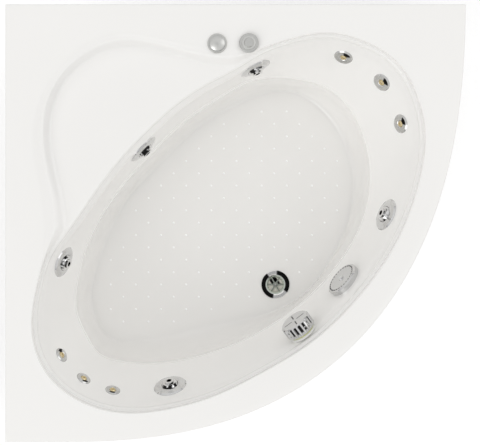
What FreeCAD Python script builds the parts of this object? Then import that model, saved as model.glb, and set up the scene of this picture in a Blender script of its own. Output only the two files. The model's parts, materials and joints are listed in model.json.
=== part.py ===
import FreeCAD, Part
import math
import os
import re
import Sketcher

# Corner bath with water jets, seen from above with the wall corner at its back left.
# Plan places are given as (across, out): millimetres to the right of the left wall,
# and millimetres out from the back wall. The part's frame has +X across, +Y towards
# the back wall and +Z up, with its origin on the floor under the middle of the plan box.

V = FreeCAD.Vector
UP = V(0, 0, 1)
doc = FreeCAD.newDocument("corner_bath")
sheet = doc.addObject("Spreadsheet::Sheet", "Sizes")

SIZES = [
    ("leg_x", 1250, "length along the back wall"),
    ("leg_y", 1188, "length along the left wall"),
    ("rim_height", 630, "floor to the top of the deck"),
    ("bowl_depth", 410, "deck to the bowl's floor"),
    ("ledge_depth", 230, "deck to the inner ledge"),
    ("ledge_width", 5, "how far the inner ledge stands in"),
    ("seat_drop", 24, "deck to the corner seat"),
    ("shell_wall", 6, "acrylic and its glass-fibre backing"),
    ("lip_drop", 38, "height of the deck's turned-down lip"),
    ("edge_round", 4, "rounding of the deck's outer edge"),
    ("deck_left", 73, "left wall to the bowl's edge"),
    ("deck_right", 112, "bowl's edge to the right end"),
    ("deck_back", 77, "back wall to the bowl's edge"),
    ("deck_front", 81, "bowl's edge to the front end"),
    ("mouth_flare", 8, "how far the bowl's mouth rounds outwards"),
    ("mouth_round", 14, "height of that rounding"),
    ("shoulder_inset", 12, "steep first stretch of the bowl's wall"),
    ("shoulder_depth", 60, "how far down that stretch reaches"),
    ("cover_sink", 0.6, "how far a fitting's flat seat is sunk in the wall"),
    ("boss_depth", 8, "bowl's surface to the back of a fitting's boss"),
    ("board_thick", 15, "stiffening board under the bowl"),
    ("board_inset", 18, "floor's edge to the board's edge"),
    ("board_hole", 70, "opening in that board round the waste"),
    ("panel_wall", 4, "front panel's thickness"),
    ("panel_toe", 25, "gap below the front panel"),
    ("panel_end", 12, "wall to the front panel's end"),
    ("seat_gap", 0.3, "clearance between curved seats"),
    ("screw_gap", 0.05, "clearance in a screwed or glued joint"),
    ("beam_side", 30, "square steel tube"),
    ("beam_wall", 2, "wall of that tube"),
    ("post_inset", 60, "wall to the middle of a post"),
    ("front_inset", 30, "deck's front edge to the middle of a front post"),
    ("end_inset", 44, "the same for the posts at the front's two ends"),
    ("rod_radius", 6, "threaded foot rod"),
    ("nut_radius", 12, "corner radius of its nuts"),
    ("nut_height", 10, "height of its nuts"),
    ("foot_radius", 28, "foot pad"),
    ("foot_height", 14, "foot pad's height"),
    ("bracket_wall", 4, "bracket plate"),
    ("bracket_length", 80, "wall bracket's flange"),
    ("bracket_height", 40, "bracket's height"),
    ("bracket_pitch", 50, "between the wall bracket's two holes"),
    ("bracket_hole", 4.5, "radius of those holes"),
    ("bracket_drop", 90, "deck to the middle of the wall brackets"),
    ("jet_radius", 46.5, "large jet's cover ring"),
    ("jet_rise", 9, "height of that ring"),
    ("jet_depth", 115, "deck to the large jets"),
    ("ball_radius", 24, "large jet's ball"),
    ("neck_wall", 2.8, "wall round the ball, where it passes the shell"),
    ("neck_length", 34, "how far a jet's neck reaches behind the bowl's surface"),
    ("hole_gap", 0.7, "clearance of a neck in the shell"),
    ("tip_radius", 14, "large jet's outlet rim"),
    ("tip_bore", 7, "large jet's outlet"),
    ("tip_rise", 20, "height of that rim"),
    ("gasket_thick", 2, "gasket behind the shell"),
    ("clamp_height", 10, "nut behind the shell"),
    ("tee_reach", 62, "bowl's surface to the water pipe's line"),
    ("tee_length", 66, "large jet's pipe socket"),
    ("tee_radius", 21, "pipe socket's outer radius"),
    ("small_depth", 98, "deck to the small jets"),
    ("back_radius", 26.5, "small back jet's cover"),
    ("toe_radius", 21, "small foot jet's cover"),
    ("small_rise", 4.5, "height of those covers"),
    ("small_nozzle", 8.5, "small jet's brass nozzle"),
    ("small_bore", 3, "small jet's outlet"),
    ("small_tee", 46, "small jet's pipe socket"),
    ("pipe_radius", 16, "pressure pipe"),
    ("pipe_wall", 2, "wall of the pressure pipe"),
    ("air_radius", 5, "air hose"),
    ("hose_wall", 1.5, "wall of the small hoses"),
    ("suction_depth", 122, "deck to the suction strainer"),
    ("suction_radius", 51.5, "suction strainer's cover"),
    ("suction_rise", 17, "height of that cover"),
    ("suction_neck", 29, "suction fitting's neck"),
    ("strainer_ring", 43, "radius of the ring of strainer holes"),
    ("strainer_hole", 2.2, "radius of one strainer hole"),
    ("suction_pipe", 25, "suction pipe's radius"),
    ("knob_depth", 72, "deck to the overflow knob"),
    ("knob_radius", 44, "overflow knob"),
    ("knob_length", 36, "overflow knob's length"),
    ("knob_stand", 10, "bowl's surface to the knob's back"),
    ("flute_radius", 4.5, "one flute of the knob"),
    ("overflow_neck", 19.5, "overflow fitting's neck"),
    ("overflow_hose", 15, "overflow hose"),
    ("waste_radius", 43, "waste flange"),
    ("waste_rise", 3.5, "height of the waste flange"),
    ("waste_stem", 27, "waste flange's stem"),
    ("waste_length", 62, "waste body below the bowl's floor"),
    ("pin_radius", 4.5, "lift pin of the waste"),
    ("pin_travel", 10, "lift pin's travel"),
    ("trap_radius", 20, "outlet pipe of the trap"),
    ("button_radius", 26.7, "bezel of the start button"),
    ("cap_radius", 21, "start button's cap"),
    ("cap_travel", 4, "start button's travel"),
    ("air_knob", 26.3, "air regulator's knob"),
    ("control_neck", 16, "rim control's body"),
    ("control_ring", 6, "width of its nut"),
    ("control_reach", 52, "that body's reach below the deck"),
    ("motor_radius", 62, "pump's motor housing"),
    ("motor_length", 190, "motor housing's length"),
    ("volute_radius", 82, "pump's volute"),
    ("volute_length", 66, "volute's length"),
    ("pump_axis", 112, "floor to the pump's shaft"),
    ("shaft_radius", 7, "pump's shaft"),
    ("base_thick", 18, "thickness of the pump's board"),
]
for row, (alias, value, _) in enumerate(SIZES, start=1):
    sheet.set(f"A{row}", alias)
    sheet.set(f"B{row}", str(value))
    sheet.setAlias(f"B{row}", alias)
    sheet.set(f"C{row}", SIZES[row - 1][2])
doc.recompute()


known = {}


def size(text):
    """The value of a size, or of a sum of sizes, in millimetres."""
    if text not in known:
        known[text] = float(sheet.evalExpression(str(text)))
    return known[text]


def bound(text):
    """The same text as an expression that reads the sheet. Every size's name has an underscore."""
    return re.sub(r"[a-z]+(?:_[a-z]+)+", lambda found: "Sizes." + found.group(0), str(text))


# ---------------------------------------------------------------- plan outlines
# Drawn for a bowl that fills the box below, and stretched with the bowl.
DRAWN_ACROSS = (73, 1138)
DRAWN_OUT = (77, 1107)
DRAWN_CENTRE = (596, 572)
SAMPLES = 72

DECK_EDGE = [
    (881, 81), (962, 100), (1038, 138), (1095, 201), (1127, 276), (1138, 369), (1125, 463), (1092, 572),
    (1043, 675), (976, 770), (894, 859), (800, 936), (691, 1001), (569, 1061), (447, 1096), (325, 1107),
    (217, 1080), (133, 1022), (84, 943), (73, 856), (87, 762), (103, 680), (104, 607), (95, 518), (79, 423),
    (76, 325), (100, 244), (154, 163), (225, 104), (312, 77), (407, 88), (501, 108), (596, 121), (697, 115),
    (786, 92),
]
SEAT_EDGE = [
    (626, 166), (588, 167), (541, 162), (473, 141), (405, 124), (337, 115), (276, 125), (214, 157),
    (162, 206), (132, 269), (123, 334), (129, 408), (145, 476), (160, 539), (167, 615),
]
RIM = [
    (697, 131), (787, 99), (882, 87), (958, 105), (1029, 141), (1084, 201), (1116, 275), (1130, 368),
    (1118, 460), (1085, 569), (1036, 670), (969, 765), (888, 854), (794, 930), (686, 994), (566, 1053),
    (446, 1088), (324, 1099), (220, 1073), (140, 1017), (94, 941), (81, 858), (95, 765), (119, 689),
    (169, 615), (228, 531), (310, 421), (392, 335), (474, 263), (555, 211), (626, 173),
]
LEDGE = [
    (825, 178), (749, 170), (662, 184), (580, 228), (493, 286), (405, 367), (318, 460), (245, 559),
    (195, 655), (166, 761), (163, 854), (188, 915), (230, 975), (303, 1000), (391, 1004), (522, 981),
    (639, 939), (755, 874), (849, 798), (936, 696), (995, 585), (1018, 469), (1006, 367), (965, 270),
    (901, 206),
]
FLOOR = [
    (794, 191), (640, 228), (517, 299), (409, 401), (295, 524), (215, 693), (187, 847), (224, 930),
    (363, 949), (517, 915), (671, 884), (825, 823), (933, 678), (985, 524), (966, 370), (902, 262),
]


def stretched(across, out):
    """A drawn plan place, moved to where the bowl's box puts it."""
    wide = (size("leg_x - deck_left - deck_right")) / (DRAWN_ACROSS[1] - DRAWN_ACROSS[0])
    long = (size("leg_y - deck_back - deck_front")) / (DRAWN_OUT[1] - DRAWN_OUT[0])
    return (size("deck_left") + (across - DRAWN_ACROSS[0]) * wide, size("deck_back") + (out - DRAWN_OUT[0]) * long)


def place(across, out, height):
    """A plan place and a height above the floor, in the part's frame."""
    return V(across - size("leg_x") / 2, size("leg_y") / 2 - out, height)


def round_curve(points):
    curve = Part.BSplineCurve()
    curve.interpolate(Points=points, PeriodicFlag=True)
    return curve


CENTRE = place(*stretched(*DRAWN_CENTRE), 0)


class Outline:
    """A line round the bowl, smooth through its points, read as a radius at a bearing in degrees."""

    def __init__(self, points, closed=True):
        spots = [place(*stretched(*p), 0) for p in points]
        if closed:
            curve = round_curve(spots)
        else:
            curve = Part.BSplineCurve()
            curve.interpolate(spots)
        first, last = curve.FirstParameter, curve.LastParameter
        steps = 20 * len(points)
        read = []
        for step in range(steps if closed else steps + 1):
            arm = curve.value(first + (last - first) * step / steps) - CENTRE
            read.append((math.degrees(math.atan2(arm.y, arm.x)) % 360, arm.Length))
        self.read = sorted(read)
        self.closed = closed

    def radius(self, bearing):
        """The radius at this bearing, or 0 where an open line doesn't reach it."""
        bearing %= 360
        after = [r for r in self.read if r[0] >= bearing]
        before = [r for r in self.read if r[0] < bearing]
        if not (after and before):
            if not self.closed:
                return 0
            low, high = self.read[-1], self.read[0]
            return low[1] + (high[1] - low[1]) * ((bearing - low[0]) % 360) / ((high[0] - low[0]) % 360)
        low, high = before[-1], after[0]
        return low[1] + (high[1] - low[1]) * (bearing - low[0]) / (high[0] - low[0])


deck_edge = Outline(DECK_EDGE)
seat_edge = Outline(SEAT_EDGE, closed=False)
rim = Outline(RIM)
ledge = Outline(LEDGE)
floor = Outline(FLOOR)


def ring(radius_at, depth):
    """A level closed line at a depth below the deck."""
    spots = []
    for step in range(SAMPLES):
        bearing = 360 * step / SAMPLES
        turn = math.radians(bearing)
        arm = V(math.cos(turn), math.sin(turn), 0) * radius_at(bearing)
        spots.append(CENTRE + arm + UP * (size("rim_height") - depth))
    return Part.Wire(round_curve(spots).toShape())


MOUTH_STEPS = 4
FLOOR_STEPS = 8


def stations(bearing):
    """The bowl's profile at a bearing, from its mouth to its floor: (radius, depth, outward, downward).
    The last two say which way the wall's outer face lies."""
    at_rim, at_ledge, at_floor = rim.radius(bearing), ledge.radius(bearing), floor.radius(bearing)
    drop, flare, rounding = size("seat_drop"), size("mouth_flare"), size("mouth_round")
    profile = []
    for step in range(MOUTH_STEPS + 1):
        turn = math.radians(90 * step / MOUTH_STEPS)
        out, down = math.sin(turn), math.cos(turn)
        profile.append((at_rim + flare * (1 - out), drop + rounding * (1 - down), out, down))
    profile.append((at_rim - size("shoulder_inset"), size("shoulder_depth"), 1, 0.1))
    width, depth, deepest = size("ledge_width"), size("ledge_depth"), size("bowl_depth")
    profile.append((at_ledge + width, depth - width, 1, 0.2))
    profile.append((at_ledge + width / 5, depth, 1, 0.2))
    profile.append((at_ledge, depth + width, 1, 0.2))
    for step in range(1, FLOOR_STEPS + 1):
        turn = math.radians(90 * step / FLOOR_STEPS)
        across = at_floor + (at_ledge - at_floor) * math.cos(turn)
        down = depth + width + (deepest - depth - width) * math.sin(turn)
        profile.append((across, down, math.cos(turn), max(math.sin(turn), 0.2)))
    return profile


def bowl_solid(grown, first):
    """The bowl's space, or with its wall's thickness added, from one of its stations down to its floor."""
    rings = []
    for index in range(first, len(stations(0))):
        radius_at = lambda bearing: stations(bearing)[index][0] + grown * stations(bearing)[index][2]
        depth = stations(0)[index][1] + grown * stations(0)[index][3]
        rings.append(ring(radius_at, depth))
    return Part.makeLoft(rings, True, True)


def wall_radius(bearing, depth):
    """The bowl's radius on the straight stretches of its wall."""
    profile = stations(bearing)
    for (r1, d1, _, _), (r2, d2, _, _) in zip(profile, profile[1:]):
        if d1 <= depth <= d2:
            return r1 + (r2 - r1) * (depth - d1) / (d2 - d1)
    return profile[0][0]


def wall_point(bearing, depth):
    turn = math.radians(bearing)
    arm = V(math.cos(turn), math.sin(turn), 0) * wall_radius(bearing, depth)
    return CENTRE + arm + UP * (size("rim_height") - depth)


def on_wall(bearing, depth):
    """Placement of a fitting on the bowl's wall: Z into the bowl, Y upwards along the wall."""
    reach = 3
    here = wall_point(bearing, depth)
    along = wall_point(bearing + reach, depth) - wall_point(bearing - reach, depth)
    up = wall_point(bearing, depth - 12) - wall_point(bearing, depth + 12)
    inwards = along.cross(up).normalize()
    if inwards.dot(CENTRE - V(here.x, here.y, 0)) < 0:
        inwards = inwards * -1
    sideways = UP.cross(inwards).normalize()
    steep = inwards.cross(sideways)
    turn = FreeCAD.Rotation(sideways, steep, inwards, "ZXY")
    return FreeCAD.Placement(here - inwards * size("cover_sink"), turn)


FRONT_CENTRE = (138, -60)
FRONT_POWER = 2.51
FRONT_SAMPLES = 26


def front_curve(inset, from_out, to_across):
    """Points of the deck's curved front, inset from its edge, from the right end to the front end."""
    along = size("leg_x") - FRONT_CENTRE[0] - inset
    down = size("leg_y") - FRONT_CENTRE[1] - inset
    start = math.asin(((from_out - FRONT_CENTRE[1]) / down) ** (FRONT_POWER / 2))
    rest = FRONT_CENTRE[0] - to_across
    end = math.pi / 2 + math.asin((max(rest, 0) / along) ** (FRONT_POWER / 2))
    spots = []
    for step in range(FRONT_SAMPLES + 1):
        turn = start + (end - start) * step / FRONT_SAMPLES
        cosine, sine = math.cos(turn), math.sin(turn)
        across = FRONT_CENTRE[0] + along * math.copysign(abs(cosine) ** (2 / FRONT_POWER), cosine)
        spots.append((across, FRONT_CENTRE[1] + down * sine ** (2 / FRONT_POWER)))
    return spots


def spline(spots, height):
    curve = Part.BSplineCurve()
    curve.interpolate([place(across, out, height) for across, out in spots])
    return curve.toShape()


def joined(edges, *corners):
    """A flat face inside curved edges and the straight lines between the corners."""
    lines = [Part.LineSegment(a, b).toShape() for a, b in zip(corners, corners[1:])]
    return Part.Face(Part.Wire(Part.__sortEdges__(list(edges) + lines)))


def deck_face(inset, height):
    spots = front_curve(inset, inset, inset)
    corner = place(inset, inset, height)
    return joined([spline(spots, height)], place(*spots[0], height), corner, place(*spots[-1], height))


def front_spot(bearing, inset):
    """Where the deck's front curve, inset, crosses a bearing from the bowl's middle."""
    spots = [place(across, out, 0) - CENTRE for across, out in front_curve(inset, inset, inset)]
    turns = [math.degrees(math.atan2(arm.y, arm.x)) for arm in spots]
    wanted = bearing if bearing <= 180 else bearing - 360
    for (one, a), (two, b) in zip(zip(turns, spots), zip(turns[1:], spots[1:])):
        if min(one, two) <= wanted <= max(one, two):
            return CENTRE + a + (b - a) * ((wanted - one) / (two - one))
    raise ValueError("no such bearing on the front")


# ---------------------------------------------------------------- building blocks
nodes = {}


def made(label, thing):
    """Keeps a sub-part under its own name."""
    thing.Label = label
    nodes[label] = thing
    return thing


def shaped(label, shape):
    thing = doc.addObject("Part::Feature", label)
    thing.Shape = shape
    return made(label, thing)


def grouped(label, things):
    """Equal pieces, or pieces of one weldment's kind, kept together as separate solids."""
    group = doc.addObject("Part::Compound", label)
    group.Links = things
    return made(label, group)


def base_plane(body, role):
    return [f for f in body.Origin.OriginFeatures if f.Role == role][0]


def sketched(body, name, plane, corners=(), arcs=None, circles=()):
    """A sketch on one of the body's own planes. Corners are pairs of size texts, in order; arcs name the
    edges that are round about the vertical axis: {edge: (centre height, radius)}. Circles are (x, y, radius)."""
    sketch = body.newObject("Sketcher::SketchObject", name)
    sketch.AttachmentSupport = (base_plane(body, plane), [""])
    sketch.MapMode = "FlatFace"
    arcs = arcs or {}
    count = len(corners)
    spots = []
    for index, (x, y) in enumerate(corners):
        if x is None:
            middle, reach = arcs[index if index in arcs else index - 1]
            spots.append(V(math.sqrt(size(reach) ** 2 - (size(y) - size(middle)) ** 2), size(y), 0))
        elif y is None:
            middle, reach = arcs[index - 1]
            spots.append(V(0, size(middle) + size(reach), 0))
        else:
            spots.append(V(size(x), size(y), 0))
    for index in range(count):
        start, end = spots[index], spots[(index + 1) % count]
        if index in arcs:
            middle, reach = arcs[index]
            hub = V(0, size(middle), 0)
            circle = Part.Circle(hub, UP, size(reach))
            turns = [math.atan2(p.y - hub.y, p.x) for p in (start, end)]
            sketch.addGeometry(Part.ArcOfCircle(circle, *turns), False)
        else:
            sketch.addGeometry(Part.LineSegment(start, end), False)

    def tie(kind, text, *spot):
        index = sketch.addConstraint(Sketcher.Constraint(kind, *spot, size(text)))
        sketch.setExpression(f"Constraints[{index}]", bound(text))

    for index in range(count):
        sketch.addConstraint(Sketcher.Constraint("Coincident", index, 2, (index + 1) % count, 1))
    for index, (middle, reach) in arcs.items():
        sketch.addConstraint(Sketcher.Constraint("PointOnObject", index, 3, -2))
        if middle == "0":
            sketch.addConstraint(Sketcher.Constraint("PointOnObject", index, 3, -1))
        else:
            tie("DistanceY", middle, -1, 1, index, 3)
        tie("Radius", reach, index)
    for index, (x, y) in enumerate(corners):
        for kind, text, axis in (("DistanceX", x, -2), ("DistanceY", y, -1)):
            if text is None:
                continue
            if text == "0":
                sketch.addConstraint(Sketcher.Constraint("PointOnObject", index, 1, axis))
            else:
                tie(kind, text, -1, 1, index, 1)
    for index, (x, y, radius) in enumerate(circles, start=count):
        sketch.addGeometry(Part.Circle(V(size(x), size(y), 0), UP, size(radius)), False)
        tie("Radius", radius, index)
        for kind, text, axis in (("DistanceX", x, -2), ("DistanceY", y, -1)):
            if text == "0":
                sketch.addConstraint(Sketcher.Constraint("PointOnObject", index, 3, axis))
            else:
                tie(kind, text, -1, 1, index, 3)
    return sketch


def new_body(name):
    return doc.addObject("PartDesign::Body", name)


def turned(name, profile, arcs=None, at=None):
    """A turned piece: its (radius, height) profile swung round its own Z axis."""
    body = new_body(name)
    sketch = sketched(body, name + "_profile", "XZ_Plane", profile, arcs)
    swing = body.newObject("PartDesign::Revolution", name + "_turned")
    swing.Profile = sketch
    swing.ReferenceAxis = (sketch, ["V_Axis"])
    swing.Angle = 360
    sketch.Visibility = False
    if at is not None:
        body.Placement = at
    return body


def padded(body, name, length, corners=(), circles=(), plane="XY_Plane", both=False, back=False):
    sketch = sketched(body, name + "_outline", plane, corners, circles=circles)
    pad = body.newObject("PartDesign::Pad", name)
    pad.Profile = sketch
    pad.setExpression("Length", bound(length))
    pad.SideType = "Symmetric" if both else "One side"
    pad.Reversed = back
    sketch.Visibility = False
    return pad


def pocketed(body, name, length, corners=(), circles=(), plane="XY_Plane", both=False, back=False):
    sketch = sketched(body, name + "_outline", plane, corners, circles=circles)
    cut = body.newObject("PartDesign::Pocket", name)
    cut.Profile = sketch
    cut.setExpression("Length", bound(length))
    cut.SideType = "Symmetric" if both else "One side"
    cut.Reversed = back
    sketch.Visibility = False
    return cut


def repeated(body, feature, count):
    """The feature, repeated round the body's Z axis."""
    pattern = body.newObject("PartDesign::PolarPattern", feature.Name + "_round")
    pattern.Originals = [feature]
    pattern.Axis = (base_plane(body, "Z_Axis"), [""])
    pattern.Angle = 360
    pattern.Occurrences = count
    body.Tip = pattern
    return pattern


def tube_profile(inner, outer, low, high):
    return [(inner, low), (outer, low), (outer, high), (inner, high)]


def upright(spot, height=None):
    at = V(spot.x, spot.y, spot.z if height is None else height)
    return FreeCAD.Placement(at, FreeCAD.Rotation())


RUN_SHARE = 0.45


def route(points):
    """Straight runs joined by tangent arcs, each as large as its two runs allow."""
    edges = []
    last = points[0]
    for before, here, after in zip(points, points[1:], points[2:]):
        one, two = here - before, after - here
        half = one.getAngle(two) / 2
        if half < 0.01:
            continue
        trim = RUN_SHARE * min(one.Length, two.Length)
        start = here - V(one).normalize() * trim
        end = here + V(two).normalize() * trim
        hub = (V(two).normalize() - V(one).normalize()).normalize()
        reach = trim / math.tan(half)
        middle = here + hub * (reach / math.cos(half) - reach)
        edges.append(Part.LineSegment(last, start).toShape())
        edges.append(Part.Arc(start, middle, end).toShape())
        last = end
    edges.append(Part.LineSegment(last, points[-1]).toShape())
    return Part.Wire(edges)


def tube(points, outer, inner=0):
    """A round tube, or a solid cord, along a route."""
    path = route(points)
    heading = points[1] - points[0]
    section = Part.Face(Part.Wire(Part.makeCircle(outer, points[0], heading)))
    solid = path.makePipe(section)
    if inner:
        core = path.makePipe(Part.Face(Part.Wire(Part.makeCircle(inner, points[0], heading))))
        solid = solid.cut(core)
    expected = math.pi * (outer**2 - inner**2) * path.Length
    if abs(solid.Volume - expected) > 0.02 * expected:
        raise ValueError("a tube isn't as large as its section times its length")
    return solid.Solids[0]


# ---------------------------------------------------------------- where the fittings are
JET_BEARINGS = (78.6, 141.1, 196.0, 0.1, 252.2)
BACK_BEARINGS = (53.2, 40.3, 27.5)
FOOT_BEARINGS = (220.5, 229.1, 237.3)
SUCTION_BEARING = 331.1
KNOB_BEARING = 303.7
WASTE_SPOT = (749, 784)
BUTTON_SPOT = (575, 107)
AIR_KNOB_SPOT = (661, 107)

jet_places = [on_wall(b, size("jet_depth")) for b in JET_BEARINGS]
back_places = [on_wall(b, size("small_depth")) for b in BACK_BEARINGS]
foot_places = [on_wall(b, size("small_depth")) for b in FOOT_BEARINGS]
suction_place = on_wall(SUCTION_BEARING, size("suction_depth"))
knob_place = on_wall(KNOB_BEARING, size("knob_depth"))
floor_top = size("rim_height - bowl_depth")
waste_place = upright(place(*stretched(*WASTE_SPOT), floor_top))
button_place = upright(place(*stretched(*BUTTON_SPOT), size("rim_height")))
air_knob_place = upright(place(*stretched(*AIR_KNOB_SPOT), size("rim_height")))


# ---------------------------------------------------------------- shell, board and panel
JET_NECK = "(ball_radius + neck_wall)"
SMALL_NECK = "(small_nozzle + 3.5)"
fittings = [(at, JET_NECK, "jet_radius", 11) for at in jet_places]
fittings += [(at, SMALL_NECK, "back_radius", 9) for at in back_places]
fittings += [(at, SMALL_NECK, "toe_radius", 9) for at in foot_places]
fittings += [(suction_place, "suction_neck", "suction_radius", 13), (knob_place, "overflow_neck", "knob_radius", 11)]


controls = [(button_place, "button_radius"), (air_knob_place, "air_knob - 2")]


def along_fitting(at, radius, low, high):
    """A cylinder along a fitting's own axis."""
    solid = Part.makeCylinder(radius, high - low, V(0, 0, low))
    solid.Placement = at
    return solid


def make_shell():
    wall, top, drop = size("shell_wall"), size("rim_height"), size("seat_drop")
    deck = deck_face(0, top - wall).extrude(UP * wall)
    rounded = [e for e in deck.Edges if all(abs(v.Z - top) < 0.01 for v in e.Vertexes)]
    deck = deck.makeFillet(min(size("edge_round"), wall - 1), rounded)
    lip_low = top - size("lip_drop")
    lip = deck_face(0, lip_low).extrude(UP * (size("lip_drop") - wall))
    lip = lip.cut(deck_face(wall, lip_low).extrude(UP * size("lip_drop")))
    mouth = lambda bearing: rim.radius(bearing) + size("mouth_flare") + 0.5
    seat_line = lambda bearing: max(seat_edge.radius(bearing), mouth(bearing))
    edge_line = lambda bearing: max(deck_edge.radius(bearing), seat_line(bearing) + 2)
    around = Part.Face(ring(lambda bearing: edge_line(bearing) + wall, drop + wall)).extrude(UP * (drop + wall / 2))
    step_rings = [ring(edge_line, -wall)]
    for across, down in ((0, 0), (0.3, 0.1), (0.6, 0.4), (0.85, 0.85), (1, 1)):
        blended = lambda bearing: edge_line(bearing) + across * (seat_line(bearing) - edge_line(bearing))
        step_rings.append(ring(blended, down * drop))
    seat_space = Part.makeLoft(step_rings, True, True)
    bosses = [along_fitting(at, size(cover) + 2, -size("boss_depth"), 0) for at, _, cover, _ in fittings]
    shell = deck.fuse([lip, around, bowl_solid(wall, 0)] + bosses)
    mouth_ring = ring(lambda bearing: stations(bearing)[0][0], drop - 2)
    cuts = [seat_space, Part.Face(mouth_ring).extrude(UP * -2), bowl_solid(0, 0)]
    for at, neck, cover, nut_width in fittings:
        cuts.append(along_fitting(at, size(neck + " + hole_gap"), -40, 40))
        cuts.append(along_fitting(at, size(cover) + 1.5, 0, 40))
        cuts.append(along_fitting(at, size(neck) + nut_width, -40, -size("boss_depth")))
    cuts.append(along_fitting(waste_place, size("waste_stem + hole_gap"), -4 * wall, 4 * wall))
    shell = shell.cut(cuts)
    landings = [along_fitting(at, size(cover) - 0.5, -14, 0) for at, cover in controls]
    cuts = [along_fitting(at, size("control_neck + control_ring + 1"), -60, -wall) for at, _ in controls]
    cuts += [along_fitting(at, size("control_neck + hole_gap"), -60, 2 * wall) for at, _ in controls]
    return shell.fuse(landings).cut(cuts).removeSplitter()


shaped("bath_shell", make_shell())

board_low = size("rim_height - bowl_depth - shell_wall - board_thick")


def make_board():
    inset = size("board_inset")
    outline = ring(lambda bearing: floor.radius(bearing) - inset, size("rim_height") - board_low)
    board = Part.Face(outline).extrude(UP * size("board_thick"))
    return board.cut(Part.makeCylinder(size("board_hole"), 1000, V(waste_place.Base.x, waste_place.Base.y, 0)))


shaped("base_board", make_board())

panel_out = size("shell_wall + seat_gap")
panel_in = panel_out + size("panel_wall")
panel_top = size("rim_height - shell_wall - seat_gap")


def between_fronts(outer, inner, low, high):
    """The strip between two insets of the deck's curved front, short of both walls."""
    strip = deck_face(outer, low).extrude(UP * (high - low)).cut(deck_face(inner, low).extrude(UP * (high - low)))
    end = size("panel_end")
    reach = size("leg_x + leg_y")
    corner = place(end, end, low)
    return strip.common(Part.makeBox(reach, reach, high - low, corner - V(0, reach, 0)))


shaped("front_panel", between_fronts(panel_out, panel_in, size("panel_toe"), panel_top))

# ---------------------------------------------------------------- steel frame
FRONT_POSTS = (345, 322, 300, 278)
beam_low = board_low - size("beam_side")
deck_low = size("rim_height - shell_wall")
post_line = front_curve(size("end_inset"), size("post_inset"), size("post_inset"))
wall_post = place(size("post_inset"), size("post_inset"), 0)
right_post = place(*post_line[0], 0)
left_post = place(*post_line[-1], 0)
front_posts = [front_spot(bearing, size("front_inset")) for bearing in FRONT_POSTS]
posts = [wall_post, right_post] + front_posts + [left_post]


def part_way(a, b, share):
    return a + (b - a) * share


rails = [
    (part_way(wall_post, left_post, 0.74), part_way(wall_post, right_post, 0.79)),
    (part_way(left_post, front_posts[-1], 0.26), part_way(right_post, front_posts[0], 0.32)),
]
middles = [part_way(a, b, 0.5) for a, b in rails]


def beam(start, end, side, low):
    """A solid square bar between two plan places, from a height up."""
    run = end - start
    solid = Part.makeBox(run.Length + side, side, side, V(-side / 2, -side / 2, 0))
    turn = FreeCAD.Rotation(UP, math.degrees(math.atan2(run.y, run.x)))
    solid.Placement = FreeCAD.Placement(V(start.x, start.y, low), turn)
    return solid


def post(spot, side, low, high):
    """An upright. Those along the front face outwards."""
    solid = Part.makeBox(side, side, high - low, V(-side / 2, -side / 2, 0))
    outward = spot - CENTRE
    turn = math.degrees(math.atan2(outward.y, outward.x)) if spot in front_posts else 0
    solid.Placement = FreeCAD.Placement(V(spot.x, spot.y, low), FreeCAD.Rotation(UP, turn))
    return solid


def hexagon(radius, low, high, spot):
    corners = [V(radius * math.cos(math.radians(60 * n)), radius * math.sin(math.radians(60 * n)), 0) for n in range(7)]
    face = Part.Face(Part.makePolygon([c + V(spot.x, spot.y, low) for c in corners]))
    return face.extrude(UP * (high - low))


def make_frame():
    side, wall = size("beam_side"), size("beam_wall")
    runs = list(zip(posts, posts[1:] + posts[:1])) + rails
    outer = [beam(a, b, side, beam_low) for a, b in runs]
    outer += [post(p, side, board_low, deck_low) for p in posts]
    inner = [beam(a, b, side - 2 * wall, beam_low + wall) for a, b in runs]
    inner += [post(p, side - 2 * wall, board_low - wall, deck_low + 1) for p in posts]
    frame = outer[0].fuse(outer[1:]).cut(inner)
    nuts = []
    for spot in posts + middles:
        nut = hexagon(size("nut_radius"), beam_low - size("nut_height"), beam_low, spot)
        nuts.append(nut.cut(Part.makeCylinder(size("rod_radius + screw_gap"), 100, V(spot.x, spot.y, beam_low - 50))))
    return frame.fuse(nuts).removeSplitter()


shaped("support_frame", make_frame())

foot_top = size("foot_height")
rods, locknuts, pads = [], [], []
for index, spot in enumerate(posts + middles, start=1):
    rod = doc.addObject("Part::Cylinder", f"foot_rod_{index}")
    rod.setExpression("Radius", bound("rod_radius"))
    rod.Height = beam_low - foot_top
    rod.Placement = upright(spot, foot_top)
    rods.append(rod)
    pad_profile = [("0", "0"), ("foot_radius", "0"), ("foot_radius", "foot_height / 3"),
                   ("foot_radius / 2", "foot_height"), ("0", "foot_height")]
    pads.append(turned(f"foot_pad_{index}", pad_profile, at=upright(spot, 0)))


def nut_body(name, bore, corner, height, at):
    """A hexagon nut standing on its own XY plane."""
    body = new_body(name)
    half, tall = f"({corner}) / 2", f"({corner}) * 0.8660254"
    corners = [(corner, "0"), (half, tall), (f"-({half})", tall), (f"-({corner})", "0"),
               (f"-({half})", f"-({tall})"), (half, f"-({tall})")]
    padded(body, name + "_pad", height, corners, circles=[("0", "0", bore)])
    body.Placement = at
    return body


for index, spot in enumerate(posts + middles, start=1):
    low = beam_low - 2 * size("nut_height")
    locknuts.append(nut_body(f"locknut_{index}", "rod_radius + screw_gap", "nut_radius", "nut_height", upright(spot, low)))
grouped("foot_rods", rods)
grouped("foot_locknuts", locknuts)
grouped("foot_pads", pads)


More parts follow.
